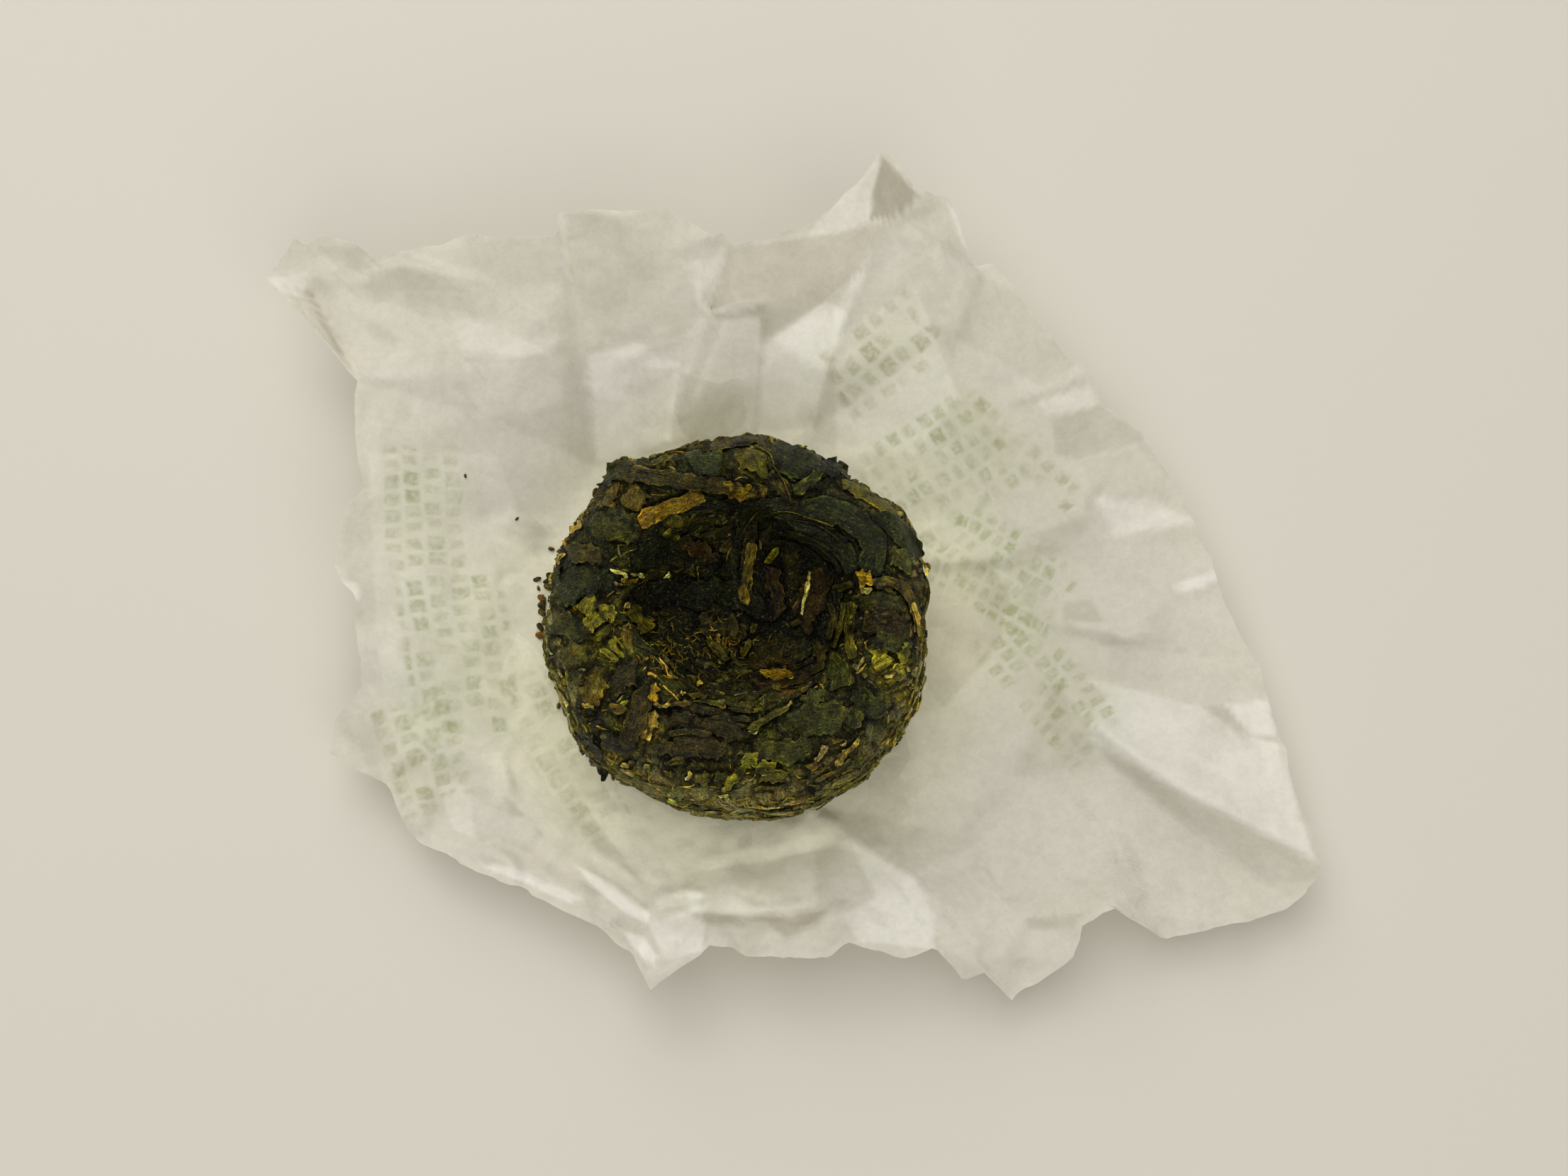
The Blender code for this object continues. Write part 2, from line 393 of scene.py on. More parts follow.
# broad tones that run over leaf and core alike: pixel, radius in pixels, tone, strength. The last
# ones run along the near rim, from its left to its right end.
regionTones = [
    ((1258, 944), 38, "moss", 0.85),
    ((836, 868), 32, "moss", 0.75),
    ((866, 918), 24, "moss", 0.7),
    ((1070, 1088), 50, "olive", 0.75),
    ((1097, 950), 24, "rust", 0.6),
    ((922, 1016), 18, "tan", 0.5),
    ((838, 978), 26, "bark", 0.7),
    ((888, 702), 28, "bark", 0.6),
    ((1066, 650), 24, "olive", 0.6),
    ((1130, 655), 45, "slate", 0.7),
    ((1240, 872), 38, "plum", 0.6),
    ((996, 1030), 55, "plum", 0.6),
    ((812, 825), 38, "teal", 0.75),
    ((870, 745), 45, "slate", 0.6),
    ((1222, 1000), 26, "teal", 0.7),
    ((1145, 1030), 48, "slate", 0.6),
    ((1200, 745), 50, "slate", 0.6),
    ((920, 1096), 28, "drab", 0.75),
    ((985, 1122), 30, "straw", 0.65),
    ((1050, 1134), 30, "straw", 0.65),
    ((1112, 1124), 28, "drab", 0.75),
    ((1172, 1094), 26, "straw", 0.5),
    ((1222, 1056), 24, "straw", 0.6),
    ((1268, 1006), 22, "drab", 0.6),
    ((800, 972), 20, "straw", 0.45),
    ((784, 905), 16, "straw", 0.4),
]
regionBend = 16  # pixels


def inRegions(places, colour):
    # each region's tone is mixed in by distance in the picture, over a border bent by noise, and
    # keeps some of the light and dark of what was there
    px, py, _ = toPixel(places)
    px = px + regionBend * layeredNoise(places, 1.5, 71, 3)
    py = py + regionBend * layeredNoise(places, 1.5, 83, 3)
    for (x, y), reach, toneName, share in regionTones:
        part = share * smoothStep(1.25 * reach, 0.75 * reach, np.hypot(px - x, py - y))[..., None]
        lightness = np.clip(colour.sum(-1, keepdims=True) / 0.09, 0, 2)
        colour = colour + part * (leafTone[toneName] * (0.6 + 0.4 * lightness) - colour)
    return colour


nest = {
    "rows": 186,
    "columns": 506,
    "restRows": 8,  # the last rows, which are wide, over the rest spot
    "restFrom": (0.97, 9.0),  # they start at this share of the section's length, less this
    "base": 0.75,  # level of the base, as the frame has it
    "restDrop": 0.55,  # the middle of the base sinks this much into the soft tissue
    "radius": 15.5,
    "roughEdge": 0.22,  # the relief stands out this much past the outline
    "wellHalf": (9.0, 8.2),
    "wellOffset": (0.7, 1.1),
    "crest": 11.6,
    "lipWaves": ((0.5, 3, 0.4),),  # height, times round, turn
    "lipWavesAcross": ((0.4, 4, -1.0),),
    "rimWaves": ((0.40, 1, -1.9), (0.22, 3, 0.5)),
    "floorTilt": 0.35,
    "floorRidge": (1.0, 0.2, 1.3),  # height, place and width of the ridge on the hollow's far side
    "plate": (3.6, 0.36),  # size and relief of the broken leaves
    "smallPlate": (1.15, 0.20),
    "wrinkle": (0.75, 0.11),
    "strata": (0.42, 0.27),  # height and relief of the pressed layers on the wall
    "seed": 11,
}
# half section of the nest, radius and height, from the well's floor over the rim to the base
nestSection = {
    "floor": (0.0, 6.4),
    "floor edge": (4.3, 6.7),
    "well side": (7.4, 9.6),
    "lip": (8.6, 13.1),
    "crest": (11.6, 14.4),
    "shoulder": (13.8, 13.7),
    "shoulder foot": (15.1, 11.5),
    "belly": (15.5, 6.5),
    "wall foot": (14.5, 3.2),
    "turn": (12.3, 0.7),
    "rest": (9.6, 0.0),
    "base": (0.0, 0.0),
}
# where the picture shows the nest's outline, anticlockwise from the right
nestOutline = {
    "right": [(1304, 858), (1305, 826), (1297, 788), (1290, 756), (1270, 726)],
    "far right": [(1243, 706), (1216, 686), (1197, 675), (1190, 658), (1157, 642), (1135, 630)],
    "far": [(1108, 625), (1075, 615), (1058, 612), (1030, 617), (1003, 622), (972, 628), (940, 641)],
    "far left": [(914, 655), (877, 651), (853, 677), (841, 702), (824, 726), (806, 745)],
    "left": [(791, 774), (784, 797), (778, 831), (774, 861), (770, 909), (776, 936), (784, 959)],
    "near left": [(797, 989), (808, 1015), (816, 1045), (839, 1076), (866, 1092), (891, 1104)],
    "near": [(921, 1122), (955, 1137), (981, 1144), (1015, 1152), (1056, 1155), (1101, 1151)],
    "near right": [(1139, 1141), (1173, 1126), (1211, 1102), (1241, 1068), (1267, 1038), (1286, 1008)],
    "right lower": [(1297, 966), (1302, 929), (1304, 884)],
}


def outlineSpread(angle):
    # how far the shown outline stands from the plain round one, as a share, at each angle.
    # The outline is met high on the far side and low on the near side.
    spots = np.array([spot for side in nestOutline.values() for spot in side], float)
    heights = np.full(len(spots), 9.0)
    for _ in range(2):
        places = atHeight(spots[:, 0], spots[:, 1], heights)
        turns = np.arctan2(places[:, 1], places[:, 0])
        heights = 8.3 + nest["base"] + 3.2 * np.sin(turns)
    plain = nest["radius"] - 0.25 * np.abs(np.sin(turns))
    share = (np.hypot(places[:, 0], places[:, 1]) - nest["roughEdge"]) / plain
    order = np.argsort(turns)
    return np.interp(angle, turns[order], share[order], period=2 * math.pi)


def nestBody(angle, section):
    # the turned nest, pressed out of round: radius and height from the section, spread by the outline
    radius, height = section[..., 0], section[..., 1]
    inner = smoothStep(nest["crest"], 0.75 * nest["crest"], radius) * (height > 3.0)
    outer = smoothStep(8.0, 13.0, radius) * smoothStep(0.0, 5.0, height)
    spread = 1.0 + (outlineSpread(angle) - 1.0) * outer
    x, y = radius * np.cos(angle) * spread, radius * np.sin(angle) * spread
    mean = sum(nest["wellHalf"]) / 2
    x = x * (1 + inner * (nest["wellHalf"][0] / mean - 1)) + inner * nest["wellOffset"][0]
    y = y * (1 + inner * (nest["wellHalf"][1] / mean - 1)) + inner * nest["wellOffset"][1]
    lip = inner * smoothStep(4.0, 7.0, radius)
    x = x + lip * waves(angle, nest["lipWaves"])
    y = y + lip * waves(angle, nest["lipWavesAcross"])
    z = height + inner * nest["floorTilt"] * np.sin(2 * angle + 0.6) * smoothStep(0.0, 4.0, radius)
    ridge, ridgeX, width = nest["floorRidge"]
    z = z + inner * ridge * np.exp(-((x - ridgeX) ** 2) / width) * smoothStep(-6.0, -1.0, y)
    upper = smoothStep(7.2, 13.0, height) * (1 - 0.6 * inner)
    z = z + upper * waves(angle, nest["rimWaves"])
    sunk = nest["restDrop"] * (1 - smoothStep(0.0, 2.5, height))
    return np.stack([x, y, z + nest["base"] - sunk * (radius < 12.5)], -1)


def gridNormals(places):
    # cross product of the steps along the columns and down the rows
    across = np.roll(places, -1, axis=1) - np.roll(places, 1, axis=1)
    down = np.gradient(places, axis=0)
    normal = np.cross(across, down)
    normal[0] = (0.0, 0.0, 1.0)
    normal[-1] = (0.0, 0.0, -1.0)
    normal /= np.maximum(np.linalg.norm(normal, axis=-1, keepdims=True), 1e-9)
    middle = normal[len(normal) // 3, 0] @ np.array([0.3, 0.0, 1.0])
    return normal if middle > 0 else -normal


def plateCells(places):
    # the places bent a little, and the broken cells of the pressed plates, flatter than wide
    bent = places + 0.5 * np.stack([softNoise(places, 2.2, nest["seed"] + k) for k in range(3)], -1)
    return bent, brokenCells(bent * np.array([1.0, 1.0, 1.7]), nest["plate"][0], nest["seed"] + 3)


def pressedRelief(places, normal):
    # height of the pressed surface: tilted plates between grooves, small plates, wrinkles, and on
    # the wall thin level layers
    outside = smoothStep(11.0, 13.0, np.hypot(places[..., 0], places[..., 1]))
    wall = smoothStep(0.75, 0.35, np.abs(normal[..., 2])) * outside
    bent, (near, second, number, offset) = plateCells(places)
    relief = nest["plate"][1]
    tilt = np.stack([np.cos(40 * number), np.sin(40 * number), np.cos(90 * number)], -1)
    plates = relief * ((number - 0.5) + 0.9 * (offset * tilt).sum(-1)) * smoothStep(0.0, 0.12, second - near)
    plates = plates - 0.5 * relief * (1 - smoothStep(0.0, 0.10, second - near))
    size, relief = nest["smallPlate"]
    near, second, number, _ = brokenCells(bent * np.array([1.0, 1.0, 1.5]), size, nest["seed"] + 31)
    small = relief * (number - 0.5) * smoothStep(0.0, 0.15, second - near)
    wrinkles = nest["wrinkle"][1] * layeredNoise(places, nest["wrinkle"][0], nest["seed"] + 9, 2)
    thin, relief = nest["strata"]
    wavy = bent * np.array([0.16, 0.16, 1.0 / thin]) + np.array([0.0, 0.0, 7.0])
    layers = relief * softNoise(wavy, 1.0, nest["seed"] + 12)
    layers = layers + 0.4 * relief * softNoise(wavy * np.array([3.0, 3.0, 2.3]), 1.0, nest["seed"] + 13)
    base = smoothStep(0.2, 1.5, places[..., 2])
    return (plates * (1 - 0.5 * wall) + small + wrinkles + layers * wall) * base


# The nest as arrays: rows down its section by arc length, columns round it
fineSection = np.maximum(throughPoints(list(nestSection.values()), np.linspace(0, 1, 1200)), 0.0)
fineArc = runAlong(fineSection)
restArc = nest["restFrom"][0] * fineArc[-1] - nest["restFrom"][1]
restArcs = np.linspace(restArc, fineArc[-1], nest["restRows"] + 1)[1:]
rowArc = np.concatenate([np.linspace(0.0, restArc, nest["rows"] - nest["restRows"]), restArcs])
rowSection = np.stack([np.interp(rowArc, fineArc, fineSection[:, k]) for k in (0, 1)], -1)
columnAngle = roundSteps(nest["columns"])
bodyGrid = nestBody(columnAngle[None, :], np.repeat(rowSection[:, None], nest["columns"], 1))
bodyNormal = gridNormals(bodyGrid)
relief = pressedRelief(bodyGrid, bodyNormal)
nestGrid = bodyGrid + bodyNormal * relief[..., None]
calmRelief = (relief + np.roll(relief, 1, 1) + np.roll(relief, -1, 1)) / 3
calmRelief[1:-1] = (calmRelief[1:-1] + calmRelief[2:] + calmRelief[:-2]) / 3
coverGrid = bodyGrid + bodyNormal * calmRelief[..., None]  # what the leaves lie on
print("nest shaped")


def mixedCells(table, row, left, right, down, across):
    # straight mixing of four cells: down is the next row's share, across the right column's
    upper = table[row, left] * (1 - across) + table[row, right] * across
    lower = table[row + 1, left] * (1 - across) + table[row + 1, right] * across
    return upper * (1 - down) + lower * down


def readTable(table, x, y):
    # the table's value at a place counted in cells, x across and y down, kept inside its last cell
    x, y = np.clip(x, 0, table.shape[1] - 2.001), np.clip(y, 0, table.shape[0] - 2.001)
    left, top = x.astype(int), y.astype(int)
    return mixedCells(table, top, left, left + 1, y - top, x - left)


def sampleGrid(table, angle, along):
    # the grid's value at any angle and distance along the section
    column = (angle / (2 * math.pi) * nest["columns"]) % nest["columns"]
    row = np.interp(along, rowArc, np.arange(nest["rows"]))
    left = np.floor(column).astype(int) % nest["columns"]
    top = np.clip(np.floor(row).astype(int), 0, nest["rows"] - 2)
    across, down = (column - np.floor(column))[..., None], (row - top)[..., None]
    return mixedCells(table, top, left, (left + 1) % nest["columns"], down, across)


# The pixels round the nest. The surface is sampled this many times denser than its rows and
# columns; a place is on the seen side if it is within this many mm of what is seen.
window = {"left": 700, "top": 550, "width": 660, "height": 680, "dense": 4, "grow": 30, "seenWithin": 1.6}


def softened(field, reach):
    # the mean over a small square, made twice, so that it falls off gently
    for _ in range(2):
        for axis in (0, 1):
            field = sum(np.roll(field, k, axis=axis) for k in range(-reach, reach + 1)) / (2 * reach + 1)
    return field


def grownInto(field, rounds):
    # cells without a number take the mean of the neighbours that have one, a ring in each round
    sides = [(step, axis) for axis in (0, 1) for step in (-1, 1)]
    for _ in range(rounds):
        known = np.isfinite(field)
        worth = np.where(known, field, 0.0)
        total = sum(np.roll(worth, *side) for side in sides)
        count = sum(np.roll(known, *side).astype(float) for side in sides)
        field = np.where(known | (count == 0), field, total / np.maximum(count, 1))
    return field


def seenDistance(grid):
    # how far from the eye the nest's surface is at each pixel of the window: the nearest of the
    # points that fall in it or beside it. Pixels without any take the mean of their neighbours,
    # also outside the outline, so that a leaf can stand out past it.
    last = nest["rows"] - nest["restRows"] - 1
    fine = np.linspace(0, last, last * window["dense"])
    around = np.linspace(0, 2 * math.pi, nest["columns"] * window["dense"], endpoint=False)
    arc = np.interp(fine, np.arange(nest["rows"]), rowArc)
    places = sampleGrid(grid, around[None, :] + 0 * arc[:, None], arc[:, None] + 0 * around[None, :])
    px, py, far = toPixel(places)
    column = np.floor(px - window["left"]).astype(int).ravel()
    row = np.floor(py - window["top"]).astype(int).ravel()
    inside = (column >= 0) & (column < window["width"]) & (row >= 0) & (row < window["height"])
    field = np.full(window["width"] * window["height"], np.inf)
    np.minimum.at(field, row[inside] * window["width"] + column[inside], far.ravel()[inside])
    field = field.reshape(window["height"], window["width"])
    for axis in (0, 1):
        field = np.min([np.roll(field, step, axis) for step in (-1, 0, 1)], axis=0)
    field = grownInto(field, window["grow"])
    return np.where(np.isfinite(field), field, field[np.isfinite(field)].max())


seenMap = softened(seenDistance(coverGrid), 3)
print("nest looked at")


def onSeen(px, py, rise):
    # the place on the nest seen at a pixel, moved towards the eye by rise
    far = readTable(seenMap, px - window["left"] - 0.5, py - window["top"] - 0.5)
    return eye + sightLine(px, py) * (far - rise)[..., None]


def shellFaces(count, along, around):
    # faces of closed shells: rings joined in order, and a fan to a pole at each end
    each = along * around + 2
    i, j = np.meshgrid(np.arange(along - 1), np.arange(around), indexing="ij")
    k = (j + 1) % around
    quads = np.stack([i * around + j, (i + 1) * around + j, (i + 1) * around + k, i * around + k], -1)
    turn = np.arange(around)
    after = (turn + 1) % around
    head = np.stack([np.full(around, each - 2), turn, after], -1)
    last = (along - 1) * around
    tail = np.stack([np.full(around, each - 1), last + after, last + turn], -1)
    fans = np.concatenate([head, tail])
    shift = (np.arange(count) * each)[:, None, None]
    return (quads.reshape(1, -1, 4) + shift).reshape(-1, 4), (fans[None] + shift).reshape(-1, 3)


def shellPiece(name, rings, finish, uv, tone):
    # closed shells, one for each first index of rings (shells, stations, points round, 3)
    def closed(values):
        # the values of each shell's points, then those of its two poles, the means of its end rings
        count, width = len(values), values.shape[-1]
        poles = np.stack([values[:, 0].mean(1), values[:, -1].mean(1)], 1)
        return np.concatenate([values.reshape(count, -1, width), poles], 1).reshape(-1, width)

    places = closed(rings)
    quads, triangles = facingOut(places, *shellFaces(*rings.shape[:3]))
    return meshPiece(name, places, quads, triangles, finish, closed(uv), closed(tone))


# How each kind of leaf is formed, in mm: thickness, how far its edges rise (cup), how torn its
# outline is, the height of the fold along its middle and of its wrinkles; how square its ends are
leafKinds = {
    "plate": {"thick": 0.15, "square": 3.6, "cup": 0.05, "ragged": 0.42, "fold": 0.05, "wrinkle": 0.11},
    "strip": {"thick": 0.15, "square": 5.0, "cup": 0.04, "ragged": 0.20, "fold": 0.10, "wrinkle": 0.08},
    "roll": {"thick": 0.34, "square": 4.0, "cup": -0.12, "ragged": 0.14, "fold": 0.16, "wrinkle": 0.14},
    "curl": {"thick": 0.16, "square": 2.6, "cup": 0.42, "ragged": 0.20, "fold": -0.08, "wrinkle": 0.12},
    "fleck": {"thick": 0.09, "square": 3.0, "cup": 0.05, "ragged": 0.46, "fold": 0.03, "wrinkle": 0.10},
}
# The leaves that can be told apart: kind and tone, half width in pixels, rise in mm, and the
# pixels that its middle line passes through. A leaf's number in the list seeds its chance parts.
shownLeaves = [
    # far rim
    ("strip umber", 11.5, 0.62, [(872, 667), (921, 671), (973, 680), (1028, 686)]),
    ("plate slate", 9.5, 0.35, [(853, 678), (875, 660), (894, 653)]),
    ("plate bark", 16.5, 0.45, [(900, 684), (889, 718)]),
    ("plate bark", 10.5, 0.4, [(860, 689), (862, 716)]),
    ("strip ochre", 11.5, 0.55, [(902, 738), (926, 723), (958, 711), (992, 698)]),
    ("plate bark", 8.5, 0.45, [(904, 727), (921, 741)]),
    ("plate olive", 17.0, 0.45, [(1049, 639), (1082, 658)]),
    ("plate teal", 19.0, 0.4, [(973, 654), (1018, 654)]),
    ("strip umber", 8.5, 0.4, [(1003, 628), (1060, 619), (1079, 625)]),
    ("plate ochre", 13.0, 0.5, [(1024, 693), (1056, 695)]),
    ("plate bark", 9.5, 0.45, [(1058, 693), (1082, 695)]),
    ("plate umber", 12.0, 0.4, [(1081, 671), (1101, 688), (1116, 714)]),
    ("strip teal", 22.0, 0.42, [(1086, 642), (1122, 652), (1158, 668)]),
    ("curl slate", 9.5, 0.5, [(1120, 695), (1139, 680), (1158, 665)]),
    ("plate night", 13.0, 0.35, [(1161, 650), (1184, 671)]),
    ("strip olive", 8.5, 0.4, [(1188, 682), (1225, 699), (1263, 729)]),
    # right of the hollow
    ("strip teal", 19.0, 0.46, [(1120, 720), (1173, 720), (1214, 741), (1233, 774), (1225, 808)]),
    ("strip teal", 14.5, 0.42, [(1240, 722), (1274, 756), (1293, 786)]),
    ("plate slate", 15.0, 0.4, [(1263, 778), (1286, 801)]),
    ("strip bark", 1.5, 0.75, [(1131, 728), (1154, 735), (1176, 742)]),
    ("plate gold", 9.0, 0.7, [(1209, 813), (1230, 815)]),
    ("fleck cream", 4.5, 0.7, [(1213, 830), (1230, 833)]),
    ("strip umber", 6.0, 0.5, [(1176, 831), (1205, 823)]),
    ("plate slate", 22.0, 0.46, [(1212, 858), (1240, 850), (1272, 858)]),
    ("plate plum", 17.0, 0.54, [(1216, 884), (1246, 878), (1282, 884)]),
    ("fleck umber", 4.0, 0.66, [(1232, 862), (1240, 872), (1252, 878)]),
    ("strip bark", 7.5, 0.65, [(1228, 822), (1256, 820), (1280, 836), (1293, 867), (1297, 890)]),
    ("strip tan", 4.0, 0.75, [(1288, 850), (1296, 872), (1299, 896)]),
    ("plate bark", 6.0, 0.6, [(1236, 824), (1262, 828)]),
    ("plate slate", 15.0, 0.55, [(1234, 898), (1262, 906), (1284, 900)]),
    ("strip olive", 7.5, 0.5, [(1203, 850), (1197, 891), (1203, 929)]),
    ("plate teal", 16.0, 0.35, [(1210, 970), (1225, 1000), (1244, 989)]),
    ("strip olive", 3.5, 0.65, [(1190, 850), (1185, 883), (1176, 914)]),
    ("plate slate", 16.0, 0.4, [(1173, 929), (1188, 951), (1184, 970)]),
    ("plate slate", 9.5, 0.4, [(1207, 981), (1210, 1008), (1199, 1026)]),
    # near right
    ("plate slate", 22.5, 0.35, [(1116, 1019), (1161, 1015), (1195, 1019)]),
    ("plate slate", 13.0, 0.35, [(1131, 989), (1165, 978)]),
    ("strip olive", 5.0, 0.55, [(1056, 1030), (1079, 1015), (1113, 997)]),
    # torn lip of the near side
    ("plate gold", 6.5, 0.78, [(923, 964), (921, 976), (925, 990)]),
    ("plate tan", 4.4, 0.55, [(920, 990), (932, 997), (944, 993)]),
    ("plate bark", 4.0, 0.5, [(944, 996), (962, 992), (978, 990)]),
    ("plate bark", 4.6, 0.55, [(973, 982), (985, 979), (996, 984)]),
    ("plate olive", 3.4, 0.5, [(984, 990), (1004, 991), (1022, 997)]),
    ("fleck gold", 2.6, 0.5, [(1012, 993), (1024, 998)]),
    ("plate umber", 3.0, 0.45, [(1026, 999), (1046, 1003), (1066, 1001)]),
    ("fleck olive", 2.6, 0.5, [(1062, 1003), (1080, 1000), (1096, 994)]),
    ("fleck tan", 3.2, 0.55, [(1100, 1001), (1110, 996), (1117, 990)]),
    ("plate umber", 3.4, 0.5, [(1118, 986), (1136, 970), (1152, 958)]),
    ("plate bark", 2.4, 0.55, [(1130, 976), (1146, 962)]),
    ("fleck cream", 3.4, 0.5, [(1056, 1034), (1066, 1030), (1074, 1022)]),
    ("plate tan", 3.4, 0.45, [(1072, 1022), (1084, 1012), (1104, 1000)]),
    ("plate umber", 7.0, 0.35, [(950, 1006), (990, 1002), (1030, 1012), (1060, 1016)]),
    # tan bits and streaks
    ("plate tan", 7.0, 0.5, [(923, 1002), (918, 1026)]),
    ("plate tan", 6.5, 0.42, [(918, 1018), (912, 1044)]),
    ("fleck tan", 3.0, 0.6, [(912, 1028), (906, 1042)]),
    ("plate tan", 5.0, 0.45, [(1178, 1080), (1192, 1064), (1204, 1050)]),
    ("fleck tan", 3.4, 0.5, [(1186, 1070), (1200, 1056), (1213, 1040)]),
    ("plate bark", 3.0, 0.45, [(1150, 1102), (1176, 1090), (1200, 1072)]),
    ("fleck straw", 4.4, 0.45, [(1150, 1074), (1158, 1064), (1165, 1052)]),
    ("plate bark", 5.0, 0.42, [(1140, 1084), (1156, 1078)]),
    # yellow-green tufts: right, near and left
    ("plate moss", 15.0, 0.5, [(1229, 922), (1242, 918), (1250, 926)]),
    ("plate moss", 11.0, 0.5, [(1234, 944), (1248, 938), (1262, 930)]),
    ("plate moss", 13.0, 0.6, [(1246, 960), (1262, 952), (1276, 944)]),
    ("plate moss", 7.5, 0.6, [(1268, 930), (1278, 918), (1284, 908)]),
    ("fleck cream", 3.4, 0.7, [(1248, 955), (1254, 952), (1262, 950)]),
    ("plate olive", 7.5, 0.45, [(1252, 970), (1268, 966), (1280, 956)]),
    ("fleck straw", 2.6, 0.65, [(1236, 912), (1243, 909)]),
    ("plate moss", 10.0, 0.5, [(1046, 1078), (1058, 1072), (1068, 1078)]),
    ("plate moss", 9.0, 0.5, [(1066, 1084), (1080, 1084), (1094, 1092)]),
    ("plate olive", 8.0, 0.55, [(1074, 1094), (1092, 1096), (1108, 1098)]),
    ("plate moss", 6.0, 0.6, [(1020, 1118), (1030, 1106), (1040, 1096)]),
    ("plate olive", 5.0, 0.5, [(1036, 1100), (1044, 1090), (1052, 1080)]),
    ("fleck cream", 2.6, 0.55, [(1074, 1096), (1090, 1098)]),
    ("fleck olive", 3.0, 0.5, [(1060, 1114), (1084, 1112), (1112, 1108)]),
    ("fleck cream", 2.8, 0.65, [(1014, 1124), (1028, 1122)]),
    ("fleck cream", 3.0, 0.55, [(969, 1101), (974, 1088)]),
    ("fleck straw", 3.4, 0.5, [(938, 1078), (948, 1074), (958, 1078)]),
    ("fleck straw", 2.6, 0.5, [(908, 1080), (916, 1082)]),
    ("fleck tan", 2.6, 0.5, [(876, 1078), (888, 1082)]),
    ("plate moss", 15.0, 0.5, [(826, 866), (830, 854), (842, 846)]),
    ("plate moss", 12.0, 0.5, [(826, 884), (838, 876), (846, 862)]),
    ("plate moss", 9.0, 0.55, [(850, 852), (858, 864), (866, 876)]),
    ("plate olive", 6.5, 0.45, [(840, 900), (850, 894), (862, 886)]),
    ("fleck moss", 4.4, 0.6, [(850, 914), (860, 922), (872, 932)]),
    ("plate moss", 8.0, 0.5, [(858, 908), (870, 916), (880, 928)]),
    ("fleck moss", 2.0, 0.65, [(864, 896), (872, 904), (879, 914)]),
    # pale tips at the left
    ("fleck cream", 3.0, 0.65, [(862, 806), (874, 808), (886, 814)]),
    ("fleck gold", 3.2, 0.6, [(876, 818), (888, 820), (900, 818)]),
    ("fleck cream", 2.4, 0.7, [(892, 812), (902, 810), (908, 816)]),
    ("fleck straw", 2.4, 0.6, [(866, 822), (878, 826)]),
    # thin lines along the folds
    ("fleck cocoa", 1.0, 0.8, [(1098, 733), (1130, 735), (1160, 744), (1184, 762)]),
    ("fleck umber", 0.9, 0.8, [(1104, 748), (1136, 756), (1164, 770), (1186, 790)]),
    ("fleck umber", 0.9, 0.8, [(1092, 760), (1124, 768), (1152, 786), (1170, 806)]),
    ("fleck olive", 0.8, 0.85, [(1086, 724), (1112, 722), (1140, 730)]),
    ("fleck umber", 0.9, 0.8, [(1046, 756), (1056, 738), (1070, 722), (1088, 714)]),
    ("fleck bark", 0.9, 0.7, [(1090, 656), (1106, 680), (1116, 706)]),
    ("fleck bark", 0.9, 0.7, [(884, 664), (920, 666), (960, 674)]),
    ("fleck olive", 1.2, 0.6, [(1064, 628), (1086, 640), (1092, 656)]),
    # flakes that stand out past the rim
    ("plate soot", 7.0, 0.2, [(818, 1046), (826, 1054), (838, 1056)]),
    ("plate soot", 8.5, 0.3, [(829, 1044), (836, 1062), (845, 1081), (856, 1097)]),
    ("plate cream", 2.8, 0.3, [(1297, 782), (1304, 796), (1308, 812)]),
    ("plate slate", 3.6, 0.3, [(1186, 664), (1194, 670), (1200, 674)]),
    # brown leaves of the near side
    ("fleck tan", 3.0, 0.5, [(1056, 1029), (1066, 1027)]),
    ("plate plum", 15.0, 0.44, [(936, 1022), (962, 1018), (990, 1026)]),
    ("plate plum", 13.0, 0.38, [(950, 1044), (986, 1046), (1010, 1042)]),
    ("plate plum", 15.0, 0.5, [(988, 1022), (1020, 1026), (1052, 1042)]),
    ("strip umber", 5.0, 0.6, [(944, 1034), (972, 1032), (1004, 1036)]),
    ("fleck umber", 2.4, 0.62, [(1000, 1012), (1026, 1014), (1050, 1026)]),
    ("plate plum", 13.0, 0.35, [(921, 1053), (966, 1057), (1026, 1057)]),
    # left side
    ("strip plum", 14.0, 0.6, [(912, 968), (902, 1004), (884, 1046)]),
    ("plate bark", 16.0, 0.5, [(843, 953), (830, 998)]),
    ("fleck tan", 3.0, 0.65, [(821, 995), (838, 999)]),
    ("plate plum", 16.0, 0.4, [(864, 966), (898, 947)]),
    ("curl bark", 7.0, 0.6, [(862, 1000), (883, 1002)]),
    ("plate olive", 10.5, 0.4, [(889, 853), (915, 891)]),
    ("fleck cream", 4.0, 0.5, [(936, 816), (946, 811)]),
    ("fleck cream", 3.0, 0.6, [(882, 858), (889, 850)]),
    ("plate teal", 22.5, 0.35, [(789, 838), (815, 820), (849, 812)]),
    ("plate slate", 19.0, 0.3, [(785, 876), (811, 887), (827, 902)]),
    ("plate slate", 22.5, 0.35, [(849, 741), (906, 744)]),
    ("plate umber", 13.0, 0.4, [(800, 778), (849, 786)]),
    ("fleck tan", 5.5, 0.5, [(805, 753), (819, 735)]),
    ("fleck tan", 4.0, 0.5, [(786, 795), (793, 780)]),
    ("plate olive", 17.0, 0.35, [(793, 929), (827, 921)]),
    ("plate umber", 11.5, 0.35, [(853, 1042), (898, 1057)]),
    # near bits
    ("curl bark", 5.5, 0.55, [(945, 1075), (966, 1072)]),
    ("plate olive", 8.5, 0.45, [(981, 1098), (1005, 1096)]),
    ("fleck straw", 4.0, 0.5, [(884, 1080), (892, 1074)]),
